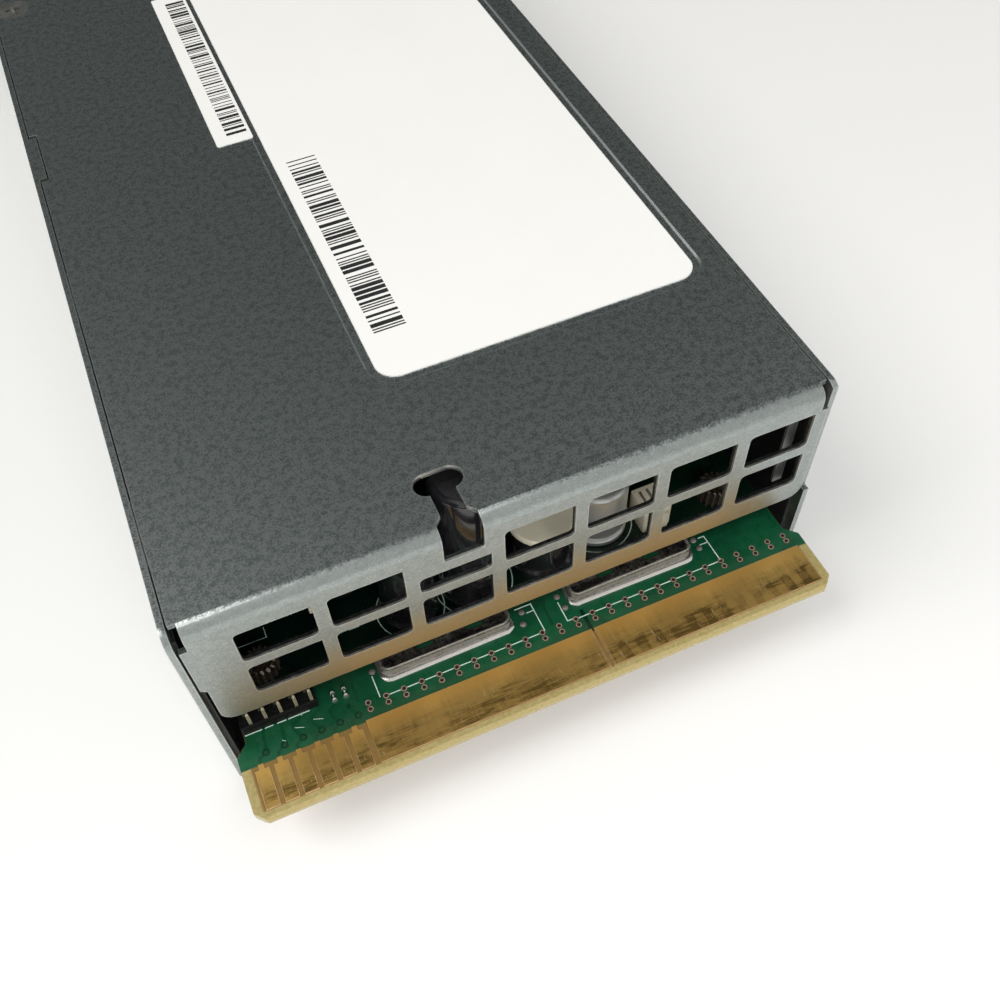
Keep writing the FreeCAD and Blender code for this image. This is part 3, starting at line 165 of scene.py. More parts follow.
class Tree:
    """A shader tree that is being filled in; a value is a constant or a node's output."""

    def __init__(self, tree):
        self.tree = tree

    def node(self, kind, inputs=None, **settings):
        made = self.tree.nodes.new("ShaderNode" + kind)
        for name, value in settings.items():
            setattr(made, name, value)
        for key, value in (inputs or {}).items():
            if isinstance(value, bpy.types.NodeSocket):
                self.tree.links.new(value, made.inputs[key])
            else:
                made.inputs[key].default_value = value
        return made

    def calc(self, operation, *values):
        return self.node("Math", dict(enumerate(values)), operation=operation).outputs[0]

    def times(self, *values):
        product = values[0]
        for value in values[1:]:
            product = self.calc("MULTIPLY", product, value)
        return product

    def size(self, value):
        return self.calc("ABSOLUTE", value)

    def blend(self, factor, a, b):
        """Mixes two colours; a constant one is given by its three channels."""
        a, b = ((*tone, 1) if isinstance(tone, tuple) and len(tone) == 3 else tone
                for tone in (a, b))
        return self.node("Mix", {0: factor, 6: a, 7: b}, data_type="RGBA").outputs[2]

    def span(self, value, start, end, at_start=0.0, at_end=1.0):
        """Maps a value from one range to another, held at its ends."""
        inputs = {0: value, 1: start, 2: end, 3: at_start, 4: at_end}
        return self.node("MapRange", inputs).outputs[0]

    def over(self, tint, tone, value, start, end, most=1.0):
        """Lays a tone over a tint, more and more as a value runs from start to end."""
        return self.blend(self.span(value, start, end, 0.0, most), tint, tone)

    def vector(self, operation, a, b):
        return self.node("VectorMath", {0: a, 1: b}, operation=operation)

    def millimetres(self):
        """The surface's own coordinates in millimetres."""
        place = self.node("TexCoord").outputs["Object"]
        return self.node("VectorMath", {0: place, 3: 1 / MM}, operation="SCALE").outputs[0]

    def noise(self, vector, scale, detail=3.0, rough=0.55, stretch=None):
        """Soft noise; stretch gives its rate along each axis."""
        if stretch:
            vector = self.vector("MULTIPLY", vector, stretch).outputs[0]
        inputs = {"Vector": vector, "Scale": scale, "Detail": detail, "Roughness": rough}
        return self.node("TexNoise", inputs).outputs[0]

    def split(self, vector):
        return self.node("SeparateXYZ", {0: vector}).outputs

    def facing(self):
        """The three parts of the surface's true direction."""
        return self.split(self.node("NewGeometry").outputs["Normal"])

    def effect(self, name, **inputs):
        """Places a shared effect; underscores in an input's name stand for spaces."""
        made = self.tree.nodes.new("ShaderNodeGroup")
        made.node_tree = EFFECTS[name]
        for key, value in inputs.items():
            made.inputs[key.replace("_", " ")].default_value = value
        return made.outputs

    def mottle(self, cloud, grain, contrast):
        return self.effect("mottle", Cloud_Scale=cloud, Grain_Scale=grain, Contrast=contrast)

    def edge_mask(self, radius):
        """Edges within a radius in millimetres."""
        return self.effect("edge_wear", Radius=radius * MM)["Mask"]


class Effect(Tree):
    """A shader group with named sockets; inputs map a name to its usual value."""

    def __init__(self, name, inputs, outputs=("Mask",)):
        super().__init__(bpy.data.node_groups.new(name, "ShaderNodeTree"))
        for title, default in inputs.items():
            socket = self.tree.interface.new_socket(
                title, in_out="INPUT", socket_type="NodeSocketFloat")
            socket.default_value = default
        for title in outputs:
            self.tree.interface.new_socket(title, in_out="OUTPUT", socket_type="NodeSocketFloat")
        self.take = self.tree.nodes.new("NodeGroupInput").outputs
        self.give = self.tree.nodes.new("NodeGroupOutput").inputs

    def close(self, **values):
        for title, value in values.items():
            self.tree.links.new(value, self.give[title])
        return self.tree


class Finish(Tree):
    """A new material with its Principled shader."""

    def __init__(self, name):
        self.material = bpy.data.materials.new(name)
        self.material.use_nodes = True
        super().__init__(self.material.node_tree)
        self.shader = self.tree.nodes["Principled BSDF"]

    def close(self, tint, gloss, bump=None, **plain):
        """Wires what varies and sets what doesn't; bump is (height, strength, millimetres)."""
        self.tree.links.new(tint, self.shader.inputs["Base Color"])
        self.tree.links.new(gloss, self.shader.inputs["Roughness"])
        if bump:
            height, strength, distance = bump
            inputs = {"Height": height, "Strength": strength, "Distance": distance * MM}
            self.tree.links.new(self.node("Bump", inputs).outputs[0], self.shader.inputs["Normal"])
        for title, value in plain.items():
            self.shader.inputs[title.replace("_", " ")].default_value = value
        return self.material


# ---- shared effects ----------------------------------------------------------------------
def build_mottle():
    """Cloudy blotches with fine grains in them: one mask from 0 to 1."""
    group = Effect("mottle", {"Cloud Scale": 0.15, "Grain Scale": 3.0, "Contrast": 1.0},
                   ("Mask", "Height"))
    place = group.millimetres()
    cloud = group.noise(place, group.take["Cloud Scale"], 4.0, 0.6)
    grain = group.noise(place, group.take["Grain Scale"], 2.0, 0.5)
    mixed = group.calc("ADD", group.times(cloud, 0.45), group.times(grain, 0.55))
    centred = group.times(group.calc("SUBTRACT", mixed, 0.5), group.take["Contrast"])
    spread = group.calc("MULTIPLY_ADD", centred, 2.6, 0.5)
    return group.close(Mask=group.node("Clamp", {0: spread}).outputs[0], Height=grain)


def build_edge_wear():
    """Finds edges by comparing a rounded normal with the true one."""
    group = Effect("edge_wear", {"Radius": 0.3 * MM, "Patchiness": 1.2})
    rounded = group.node("Bevel", {"Radius": group.take["Radius"]}, samples=4).outputs[0]
    true = group.node("NewGeometry").outputs["Normal"]
    match = group.vector("DOT_PRODUCT", rounded, true).outputs["Value"]
    patches = group.noise(group.millimetres(), group.take["Patchiness"], 3.0)
    return group.close(Mask=group.times(group.span(match, 0.995, 0.82),
                                        group.span(patches, 0.25, 0.6, 0.35, 1.0)))


def build_dust():
    """Fine dust that settles on faces that look up."""
    group = Effect("dust", {"Scale": 1.5, "Amount": 0.3})
    specks = group.noise(group.millimetres(), group.take["Scale"], 6.0, 0.75)
    return group.close(Mask=group.times(group.span(specks, 0.5, 0.72),
                                        group.span(group.facing()[2], 0.2, 0.9),
                                        group.take["Amount"]))


def build_streaks():
    """Long rubbed streaks; the three sockets set how fast they change along each axis."""
    group = Effect("streaks", {"Along X": 3.0, "Along Y": 0.1, "Along Z": 3.0})
    rates = group.node("CombineXYZ", {axis: group.take[axis] for axis in range(3)}).outputs[0]
    lines = group.noise(group.millimetres(), 1.0, 4.0, 0.65, stretch=rates)
    return group.close(Mask=group.span(lines, 0.3, 0.7))


EFFECTS = {}


# ---- materials ---------------------------------------------------------------------------
def speckled(name, dark, light, rough, metallic, blotches, bump, worn=None, edge_radius=0.25,
             dust=0.0, **plain):
    """The common finish: two tones in blotches and grains, with edges in a tone of their own and dust; that edge
    tone is wear, and on the dark enamel a painted highlight.
    """
    made = Finish(name)
    mottle = made.mottle(*blotches)
    tint = made.blend(mottle["Mask"], dark, light)
    gloss = made.span(mottle["Mask"], 0.0, 1.0, *rough)
    if worn:
        tint = made.blend(made.times(made.edge_mask(edge_radius), sizes().edge_wear), tint, worn)
    if dust:
        settled = made.effect("dust", Amount=dust)["Mask"]
        tint = made.blend(settled, tint, (0.45, 0.44, 0.41))
        gloss = made.span(settled, 0.0, 1.0, gloss, 0.9)
    return made.close(tint, gloss, (mottle["Height"], bump, 0.05), Metallic=metallic, **plain)


# name: dark and light tone, roughness of each, metallic, blotches, bump, and the rest by name
SPECKLED = {
    "black_sleeve": ((0.006, 0.006, 0.008), (0.02, 0.02, 0.024), (0.14, 0.3),
        0.0, (0.3, 1.5, 0.8), 0.08, dict(Coat_Weight=0.6)),
    "enamelled_copper": ((0.1, 0.03, 0.012), (0.32, 0.11, 0.04), (0.2, 0.4),
        0.6, (0.6, 3.0, 1.0), 0.1, dict(Coat_Weight=0.7)),
    # The dark enamel's light edge tone is a painted highlight along each turn of wire.
    "dark_enamel": ((0.05, 0.028, 0.016), (0.22, 0.15, 0.09), (0.12, 0.26),
        0.7, (0.8, 3.0, 1.2), 0.1, dict(worn=(0.75, 0.7, 0.6), edge_radius=0.12, Coat_Weight=0.8)),
    "spring_steel": ((0.42, 0.43, 0.42), (0.62, 0.63, 0.62), (0.3, 0.42),
        0.95, (0.4, 3.0, 0.6), 0.04, dict(worn=(0.85, 0.85, 0.85))),
    "zinc_screw": ((0.38, 0.38, 0.35), (0.66, 0.65, 0.6), (0.22, 0.42),
        0.95, (0.5, 4.0, 1.0), 0.15, dict(worn=(0.88, 0.87, 0.83), edge_radius=0.15)),
    "black_film": ((0.008, 0.008, 0.009), (0.022, 0.022, 0.024), (0.25, 0.42),
        0.0, (0.15, 2.0, 0.8), 0.06, dict(worn=(0.07, 0.07, 0.07), dust=0.04)),
    "black_plastic": ((0.01, 0.01, 0.011), (0.024, 0.024, 0.026), (0.36, 0.55),
        0.0, (0.2, 5.0, 0.9), 0.2, dict(worn=(0.06, 0.06, 0.062), dust=0.03)),
    "silver_can": ((0.6, 0.6, 0.59), (0.78, 0.78, 0.76), (0.26, 0.4),
        0.75, (0.3, 2.5, 0.6), 0.05, dict(worn=(0.85, 0.85, 0.85))),
    "cream_plastic": ((0.76, 0.7, 0.52), (0.88, 0.83, 0.66), (0.32, 0.5),
        0.0, (0.25, 3.5, 0.7), 0.08, dict(worn=(0.85, 0.82, 0.72), dust=0.06)),
    "tan_ceramic": ((0.2, 0.13, 0.075), (0.36, 0.25, 0.15), (0.35, 0.5),
        0.0, (0.6, 4.0, 0.9), 0.1, dict(worn=(0.5, 0.42, 0.3))),
    "dark_ferrite": ((0.02, 0.019, 0.019), (0.05, 0.048, 0.046), (0.3, 0.6),
        0.2, (0.3, 4.0, 1.0), 0.2, dict(worn=(0.14, 0.14, 0.14), dust=0.1)),
    "yellow_tape": ((0.52, 0.34, 0.03), (0.72, 0.5, 0.07), (0.2, 0.38),
        0.0, (0.3, 2.0, 0.7), 0.08, dict(worn=(0.8, 0.66, 0.25))),
    "sink_aluminium": ((0.46, 0.46, 0.47), (0.66, 0.66, 0.67), (0.28, 0.46),
        0.95, (0.2, 3.0, 0.9), 0.1, dict(worn=(0.9, 0.9, 0.9))),
    "grey_film_capacitor": ((0.22, 0.23, 0.24), (0.34, 0.35, 0.36), (0.35, 0.55),
        0.0, (0.2, 3.0, 0.8), 0.1, dict(worn=(0.5, 0.5, 0.5), dust=0.06)),
    "blue_disc": ((0.01, 0.07, 0.22), (0.02, 0.13, 0.36), (0.2, 0.4),
        0.0, (0.4, 2.0, 0.8), 0.1, dict(worn=(0.2, 0.35, 0.55))),
    "bright_tin": ((0.62, 0.6, 0.56), (0.82, 0.8, 0.76), (0.16, 0.3),
        0.95, (0.8, 4.0, 0.8), 0.1, dict(worn=(0.95, 0.94, 0.9))),
    "latch_green": ((0.02, 0.19, 0.09), (0.045, 0.29, 0.15), (0.36, 0.55),
        0.0, (0.2, 5.0, 0.8), 0.2, dict(worn=(0.2, 0.5, 0.35), dust=0.06)),
    "lens": ((0.42, 0.55, 0.42), (0.55, 0.68, 0.52), (0.1, 0.2),
        0.0, (0.5, 2.0, 0.6), 0.03, dict(worn=(0.7, 0.8, 0.7), Coat_Weight=0.5)),
    "via_copper": ((0.3, 0.17, 0.13), (0.6, 0.42, 0.33), (0.3, 0.5),
        0.4, (1.2, 5.0, 1.0), 0.1, {}),
    "dull_solder": ((0.2, 0.16, 0.15), (0.44, 0.38, 0.36), (0.35, 0.5),
        0.6, (0.9, 5.0, 1.0), 0.2, {}),
    # Painted shade for holes and openings that are drawn as flat discs.
    "hole_dark": ((0.006, 0.004, 0.003), (0.02, 0.014, 0.01), (0.5, 0.7),
        0.0, (1.0, 4.0, 0.8), 0.05, {}),
    "header_black": ((0.003, 0.003, 0.003), (0.009, 0.009, 0.009), (0.45, 0.65),
        0.0, (0.4, 4.0, 1.0), 0.1, dict(worn=(0.03, 0.03, 0.03), Specular_IOR_Level=0.15)),
    "pin_plate": ((0.34, 0.3, 0.19), (0.62, 0.57, 0.4), (0.32, 0.5),
        0.7, (0.9, 4.0, 1.0), 0.1, dict(worn=(0.85, 0.8, 0.62), edge_radius=0.1)),
    "masked_gap": ((0.001, 0.016, 0.008), (0.002, 0.03, 0.014), (0.2, 0.35),
        0.0, (0.4, 2.0, 0.9), 0.05, {}),
    "ink": ((0.012, 0.012, 0.013), (0.03, 0.03, 0.032), (0.4, 0.55),
        0.0, (0.4, 5.0, 0.9), 0.03, {}),
}


def zinc_material():
    """Zinc coated steel: fine grains, bright rubbed edges, darker sheared ones, and a painted warm reflection low
    on the front face.
    """
    made = Finish("zinc_coated_steel")
    mottle = made.mottle(1.0, 4.2, 3.0)
    place = made.millimetres()
    x, y, z = made.split(place)
    _, front, up = made.facing()
    flat_top = made.span(up, 0.93, 0.995, 0.16, 1.0)
    grains = made.times(made.calc("SUBTRACT", mottle["Mask"], 0.5), flat_top)
    grains = made.calc("ADD", grains, 0.5)
    tint = made.blend(grains, colours().zinc_dark, colours().zinc_light)
    flecks = made.noise(place, 5.0, 1.0)
    tint = made.over(tint, (0.80, 0.82, 0.80), flecks, 0.64, 0.74, 0.4)
    # Painted reflection: the low front face above the board is tinted warm, standing in for the gold contacts and
    # laminate it mirrors.
    painted_contact_reflection = made.times(made.span(z, 25.5, 17.5, 0.0, 0.8), made.span(front, -0.6, -0.9),
                      made.span(made.size(x), 26.0, 40.0, 1.0, 0.0))
    tint = made.blend(painted_contact_reflection, tint, (0.68, 0.53, 0.32))
    edge = made.times(made.edge_mask(0.35), sizes().edge_wear)
    tint = made.blend(edge, tint, (0.86, 0.87, 0.85))
    window_cut = made.times(
        made.span(y, deep(1.5), deep(1.3)), made.span(made.size(front), 0.6, 0.35),
        made.span(made.size(x), 41.0, 40.4), made.span(z, 37.6, 37.0))
    torn = made.effect("streaks", Along_X=1.6, Along_Y=5.0, Along_Z=1.6)["Mask"]
    shear = made.blend(made.times(torn, 0.6), (0.025, 0.027, 0.028), (0.36, 0.37, 0.37))
    shear = made.over(shear, (0.85, 0.85, 0.80), y, deep(0.38), deep(0.24))
    tint = made.blend(window_cut, tint, shear)
    slot_rim = made.times(made.span(z, 38.4, 38.6), made.span(made.size(up), 0.85, 0.5),
                          made.span(y, deep(2.2), deep(2.5), 0.0, 0.9))
    tint = made.blend(slot_rim, tint, (0.88, 0.88, 0.83))
    return made.close(tint, made.span(grains, 0.0, 1.0, 0.5, 0.34),
                      (mottle["Height"], 0.3, 0.03), Metallic=1.0)


def board_material():
    """Green solder mask with copper showing faintly through, and laminate where it is bare."""
    made = Finish("solder_mask")
    place = made.millimetres()
    x, y, _ = made.split(place)
    mottle = made.mottle(0.12, 0.9, 0.9)["Mask"]
    green, pale = colours().board, colours().laminate
    mask = made.blend(mottle, green, (green[0] + 0.004, green[1] * 1.45, green[2] * 1.4))
    pour = made.noise(place, 1.0, 1.0, stretch=(0.12, 0.16, 0.12))
    mask = made.over(mask, scaled(green, 1, 0.6, 0.6), pour, 0.46, 0.5, 0.35)
    shaded = made.times(made.span(y, deep(1.8), deep(4.2)), made.span(x, 2.0, 26.0, 0.97, 0.88))
    mask = made.blend(shaded, mask, (0.0015, 0.010, 0.006))
    weave = made.noise(place, 1.0, 2.0, stretch=(2.2, 2.2, 9.0))
    bare = made.over(scaled(pale, 0.8, 0.78, 0.6), pale, weave, 0.35, 0.65)
    between = made.times(made.span(made.size(x), TAB_HALF, TAB_HALF - 0.3),
                         made.span(y, deep(CONTACT_END - 0.2), deep(CONTACT_END)))
    bare = made.blend(between, bare, (0.22, 0.13, 0.035))
    masked = made.times(made.span(made.size(made.facing()[2]), 0.75, 0.95),
                        made.span(y, deep(MASK_EDGE - 0.05), deep(MASK_EDGE + 0.05)))
    return made.close(made.blend(masked, bare, mask), made.span(mottle, 0.0, 1.0, 0.22, 0.38),
                      (weave, 0.06, 0.03), Coat_Weight=0.2)


def card_material():
    """Dark upright board: near black mask on its sides, copper and laminate round its rim."""
    made = Finish("dark_board")
    mottle = made.mottle(0.3, 2.0, 1.0)
    side = made.span(made.size(made.facing()[0]), 0.6, 0.9)
    mask = made.blend(mottle["Mask"], (0.002, 0.010, 0.007), (0.004, 0.022, 0.014))
    rim = made.blend(mottle["Mask"], (0.16, 0.06, 0.03), (0.42, 0.20, 0.11))
    return made.close(made.blend(side, rim, mask), made.span(mottle["Mask"], 0.0, 1.0, 0.25, 0.42),
                      (mottle["Height"], 0.1, 0.05))


def gold_material():
    """Gold plate, bright at its root and rubbed in patches where the socket's springs wipe it."""
    made = Finish("gold_plate")
    place = made.millimetres()
    x, y, _ = made.split(place)
    wobble = made.noise(place, 1.0, 3.0, stretch=(0.5, 0.25, 0.25))
    shifted = made.calc("MULTIPLY_ADD", wobble, 0.5, made.calc("DIVIDE", x, PITCH))
    stripe = made.span(made.calc("PINGPONG", shifted, 0.5), 0.2, 0.3)
    ragged = made.noise(place, 1.0, 4.0, 0.6, stretch=(0.9, 0.05, 0.1))
    start = made.calc("MULTIPLY_ADD", ragged, -3.2, made.calc("SUBTRACT", deep(-6.4), y))
    wiped = made.span(start, -0.5, 0.1)
    along = made.effect("streaks", Along_X=0.35, Along_Y=4.5, Along_Z=1.0)["Mask"]
    across = made.effect("streaks", Along_X=5.0, Along_Y=0.3, Along_Z=1.0)["Mask"]
    cloud = made.noise(place, 1.0, 4.0, 0.65, stretch=(0.11, 0.35, 0.2))
    uneven = made.noise(place, 1.0, 2.0, stretch=(0.17, 0.02, 0.1))
    patch = made.times(stripe, wiped, made.span(uneven, 0.38, 0.6, 0.3, 1.0),
                       made.span(x, 4.0, 13.0, 0.12, 0.85), 0.7)
    haze = made.times(made.span(cloud, 0.42, 0.58), along, made.span(start, -2.2, -0.4, 0.0, 1.3))
    scuff = made.times(across, wiped, 0.3)
    amount = made.calc("ADD", patch, made.calc("ADD", haze, scuff))
    amount = made.node("Clamp", {0: amount}).outputs[0]
    tint = made.over(colours().gold, (0.50, 0.34, 0.11), start, -2.6, -0.6, 0.55)
    tint = made.blend(amount, tint, colours().gold_worn)
    scratch = made.noise(place, 1.0, 1.0, stretch=(7.0, 0.7, 1.0))
    tint = made.over(tint, (0.95, 0.80, 0.48), scratch, 0.70, 0.76, 0.6)
    rim = made.calc("MAXIMUM", made.edge_mask(0.22),
                    made.span(y, deep(-10.28), deep(-10.36), 0.0, 0.9))
    return made.close(made.blend(rim, tint, (0.98, 0.66, 0.36)),
                      made.span(amount, 0.0, 1.0, 0.3, 0.55), (across, 0.1, 0.02), Metallic=0.9)


def tin_material():
    """Tinned bar: a pitted, stained top painted darker than its walls as painted shade, and beads whose edges
    carry a painted highlight.
    """
    made = Finish("tinned_copper")
    mottle = made.mottle(0.5, 2.6, 1.8)["Mask"]
    stains = made.noise(made.millimetres(), 1.0, 6.0, 0.72, stretch=(0.22, 0.45, 0.6))
    tin = colours().tin
    tint = made.blend(mottle, scaled(tin, 0.6, 0.58, 0.55), tin)
    # Painted shade: faces that look up get a darker tone than the walls, with stains laid over it.
    shaded_tin_top = made.blend(mottle, (0.08, 0.075, 0.065), (0.30, 0.28, 0.25))
    shaded_tin_top = made.over(shaded_tin_top, (0.02, 0.018, 0.015), stains, 0.46, 0.58, 0.9)
    tint = made.over(tint, shaded_tin_top, made.facing()[2], 0.93, 0.99)
    # Painted highlight: the edges of the beads are lightened.
    return made.close(made.blend(made.edge_mask(0.3), tint, (0.9, 0.88, 0.85)),
                      made.span(mottle, 0.0, 1.0, 0.26, 0.45), (stains, 0.35, 0.12), Metallic=0.9)


def paper_material():
    """Coated label stock with faint fibres and a rim that is darker at its edges."""
    made = Finish("label_paper")
    mottle = made.mottle(0.06, 4.0, 0.7)
    white = colours().paper
    tint = made.blend(mottle["Mask"], scaled(white, 0.96, 0.96, 0.955), white)
    return made.close(made.blend(made.edge_mask(0.3), tint, (0.6, 0.6, 0.58)),
                      made.span(mottle["Mask"], 0.0, 1.0, 0.42, 0.55),
                      (mottle["Height"], 0.05, 0.02))


def glass_material():
    """Thin glass with faint smears."""
    made = Finish("clear_glass")
    smears = made.noise(made.millimetres(), 0.8, 4.0)
    return made.close(made.blend(smears, (0.93, 0.95, 0.95), (0.8, 0.86, 0.86)),
                      made.span(smears, 0.4, 0.8, 0.02, 0.2), Transmission_Weight=0.9)


MATERIALS = {}


def build_materials():
    """Builds every finish once, under the name of the record's material slot."""
    EFFECTS.update(mottle=build_mottle(), edge_wear=build_edge_wear(), dust=build_dust(),
                   streaks=build_streaks())
    MATERIALS.update(
        galvanised_steel=zinc_material(), green_board=board_material(),
        dark_board=card_material(), gold_plate=gold_material(), tinned_copper=tin_material(),
        white_label=paper_material(), clear_glass=glass_material())
    for name, (*values, rest) in SPECKLED.items():
        MATERIALS[name] = speckled(name, *values, **rest)
    white, green = colours().print_white, colours().board
    MATERIALS["board_print"] = speckled(
        "board_print", scaled(white, 0.75, 0.75, 0.75), white, (0.45, 0.6), 0.0,
        (0.6, 5.0, 1.2), 0.1)
    MATERIALS["masked_trace"] = speckled(
        "masked_trace", scaled(green, 1, 0.72, 0.72), scaled(green, 1, 0.95, 0.95), (0.2, 0.35),
        0.0, (0.12, 0.9, 0.8), 0.03, Coat_Weight=0.2)


# ---- shapes ------------------------------------------------------------------------------
SHARP_ANGLE = math.radians(38)


def mesh_of(name, work, smooth=True):
    """A mesh in metres from a bmesh in millimetres."""
    bmesh.ops.scale(work, vec=(MM, MM, MM), verts=work.verts)
    bmesh.ops.recalc_face_normals(work, faces=work.faces)
    mesh = bpy.data.meshes.new(name)
    work.to_mesh(mesh)
    work.free()
    if smooth:
        mesh.polygons.foreach_set("use_smooth", [True] * len(mesh.polygons))
        mesh.set_sharp_from_angle(angle=SHARP_ANGLE)
    return mesh


def place(name, work, finishes, body="case", slot=None, smooth=True):
    """Turns a bmesh in millimetres into a piece that rides on a body."""
    mesh = mesh_of(name, work, smooth)
    made = bpy.data.objects.new(name, mesh)
    bpy.context.scene.collection.objects.link(made)
    for each in finishes:
        mesh.materials.append(MATERIALS[each])
    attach(made, body)
    slot = slot or finishes[0]
    return made


def circle(count):
    """The cosine and sine of evenly spaced turns."""
    turns = [2 * math.pi * step / count for step in range(count)]
    return [(math.cos(turn), math.sin(turn)) for turn in turns]


def bridge(work, below, above, index=0):
    """Joins two closed rings of the same count."""
    for at in range(len(below)):
        after = (at + 1) % len(below)
        face = work.faces.new((below[at], below[after], above[after], above[at]))
        face.material_index = index


def add_lathe(work, profile, centre, steps=48, indices=None):
    """Turns (radius, height) points round an upright axis; indices gives each band's finish."""
    indices = indices or [0] * (len(profile) - 1)
    rings = [[work.verts.new(Vector(centre) + Vector((radius * x, radius * y, height)))
              for x, y in circle(steps)] for radius, height in profile]
    for below, above, index in zip(rings, rings[1:], indices):
        bridge(work, below, above, index)
    work.faces.new(rings[0]).material_index = indices[0]
    work.faces.new(rings[-1]).material_index = indices[len(rings) - 2]


def add_plate(work, points, z0, z1, index=0):
    """A flat plate with an outline of (x, y) points."""
    below = [work.verts.new((x, y, z0)) for x, y in points]
    above = [work.verts.new((x, y, z1)) for x, y in points]
    work.faces.new(above).material_index = index
    work.faces.new(below[::-1]).material_index = index
    bridge(work, below, above, index)


def add_bar(work, x0, x1, y0, y1, z0, z1, index=0):
    add_plate(work, [(x0, y0), (x1, y0), (x1, y1), (x0, y1)], z0, z1, index)


def add_soft_box(work, low_corner, high_corner, soft, index=0, segments=2):
    """A box with rounded edges."""
    start = set(work.faces)
    middle = (Vector(low_corner) + Vector(high_corner)) / 2
    extent = Vector(high_corner) - Vector(low_corner)
    matrix = Matrix.Translation(middle) @ Matrix.Diagonal((*extent, 1))
    made = bmesh.ops.create_cube(work, size=1.0, matrix=matrix)
    edges = list({edge for vert in made["verts"] for edge in vert.link_edges})
    bmesh.ops.bevel(work, geom=edges, offset=soft, segments=segments, affect="EDGES", profile=0.5)
    for face in set(work.faces) - start:
        face.material_index = index


def add_line(work, points, width, thick, index=0):
    """A line on the board along (x, depth) points, in one piece with mitred corners."""
    points = [Vector((x, deep(depth))) for x, depth in points]
    runs = [(b - a).normalized() for a, b in zip(points, points[1:])]
    points[0] -= runs[0] * width / 2
    points[-1] += runs[-1] * width / 2
    left, right = [], []
    for at, point in enumerate(points):
        before, after = runs[max(at - 1, 0)], runs[min(at, len(runs) - 1)]
        turn = (before + after).normalized()
        reach = width / 2 / max(turn.dot(after), 0.4)
        side = Vector((-turn.y, turn.x)) * reach
        left.append(work.verts.new((*(point + side), BOARD_TOP + thick)))
        right.append(work.verts.new((*(point - side), BOARD_TOP + thick)))
    for at in range(len(runs)):
        face = work.faces.new((right[at], right[at + 1], left[at + 1], left[at]))
        face.material_index = index


def add_ring(work, x, depth, outer, inner, thick, steps=20, index=0):
    """A flat ring on the board, or a disc where the inner radius is nothing."""
    rings = [[work.verts.new((x + radius * i, deep(depth) + radius * j, BOARD_TOP + thick))
              for i, j in circle(steps)] for radius in (outer, max(inner, 0.001))]
    bridge(work, *rings, index)
    if inner <= 0:
        work.faces.new(rings[1]).material_index = index


def add_tube(work, points, radius, steps=8, index=0, closed=False):
    """A round wire along a smooth list of points."""
    rings = []
    count = len(points)
    for at, point in enumerate(points):
        before = points[at - 1] if at or closed else point
        after = points[(at + 1) % count] if at < count - 1 or closed else point
        along = (Vector(after) - Vector(before)).normalized()
        side = along.cross(Vector((0, 0, 1)))
        if side.length < 0.2:
            side = along.cross(Vector((1, 0, 0)))
        side.normalize()
        over = side.cross(along)
        rings.append([work.verts.new(Vector(point) + radius * (i * side + j * over))
                      for i, j in circle(steps)])
    for at in range(count if closed else count - 1):
        bridge(work, rings[at], rings[(at + 1) % count], index)
    if not closed:
        work.faces.new(rings[0]).material_index = index
        work.faces.new(rings[-1][::-1]).material_index = index


def round_outline(x0, x1, y0, y1, radius, steps=8):
    """Points round a rectangle with round corners, in order."""
    points = []
    corners = ((x1 - radius, y1 - radius), (x0 + radius, y1 - radius),
               (x0 + radius, y0 + radius), (x1 - radius, y0 + radius))
    for corner, (x, y) in enumerate(corners):
        for step in range(steps + 1):
            turn = math.pi / 2 * (corner + step / steps)
            points.append((x + radius * math.cos(turn), y + radius * math.sin(turn)))
    return points


def at_height(outline, z):
    return [(x, y, z) for x, y in outline]


def add_loft(work, outlines, index=0):
    """Joins outlines of (x, y, z) points that have the same count, and closes the last one."""
    rings = [[work.verts.new(point) for point in outline] for outline in outlines]
    for below, above in zip(rings, rings[1:]):
        bridge(work, below, above, index)
    work.faces.new(rings[-1]).material_index = index


def middles(node):
    """Lowest and highest corners of a node's separate solids, in millimetres."""
    work = bmesh.new()
    work.from_mesh(frame["nodes"][node].data)
    bmesh.ops.remove_doubles(work, verts=work.verts, dist=1e-6)
    left = set(work.verts)
    found = []
    while left:
        todo = [left.pop()]
        group = set(todo)
        while todo:
            near = {vert for edge in todo.pop().link_edges for vert in edge.verts} - group
            group |= near
            todo.extend(near)
        left -= group
        found.append([Vector([pick(vert.co[axis] for vert in group) for axis in range(3)]) / MM
                      for pick in (min, max)])
    work.free()
    if not found:
        raise RuntimeError("%s holds no solid" % node)
    return sorted(found, key=lambda pair: (round(pair[0].x, 2), round(pair[0].y, 2)))


def round_solids(node):
    """Centre of the foot, radius and height of a node's upright round solids."""
    for a, b in middles(node):
        yield ((a.x + b.x) / 2, (a.y + b.y) / 2, a.z), (b.x - a.x) / 2, b.z - a.z


# ---- operators ---------------------------------------------------------------------------
class SUPPLY_OT_finishes(bpy.types.Operator):
    """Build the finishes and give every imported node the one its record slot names"""
    bl_idname = "supply.finishes"
    bl_label = "Finishes"

    def execute(self, context):
        build_materials()
        finish_of = {part["node"]: part["material_slot"] for part in frame["record"]["subparts"]}
        finish_of["control_card"] = "dark_board"
        for name, made in frame["nodes"].items():
            made.data.materials.clear()
            made.data.materials.append(MATERIALS[finish_of[name]])
        return {"FINISHED"}


# how many times the setting's width each node's edges are rounded
SOFT_EDGES = {
    "top_cover": 1.0, "chassis_tray": 1.0, "pull_handle": 3.0, "latch_lever": 1.5,
    "latch_pad": 1.5, "mains_inlet": 2.0, "fan_frame": 2.0, "main_board": 0.8,
    "transformer_core": 2.5, "transformer_winding": 3.0, "rectifier_heatsink": 1.0,
    "primary_heatsink": 1.0, "relay": 2.0, "x_capacitors": 2.5, "y_capacitors": 2.0,
    "film_capacitors": 2.0, "control_card": 0.8, "control_chips": 1.0,
}


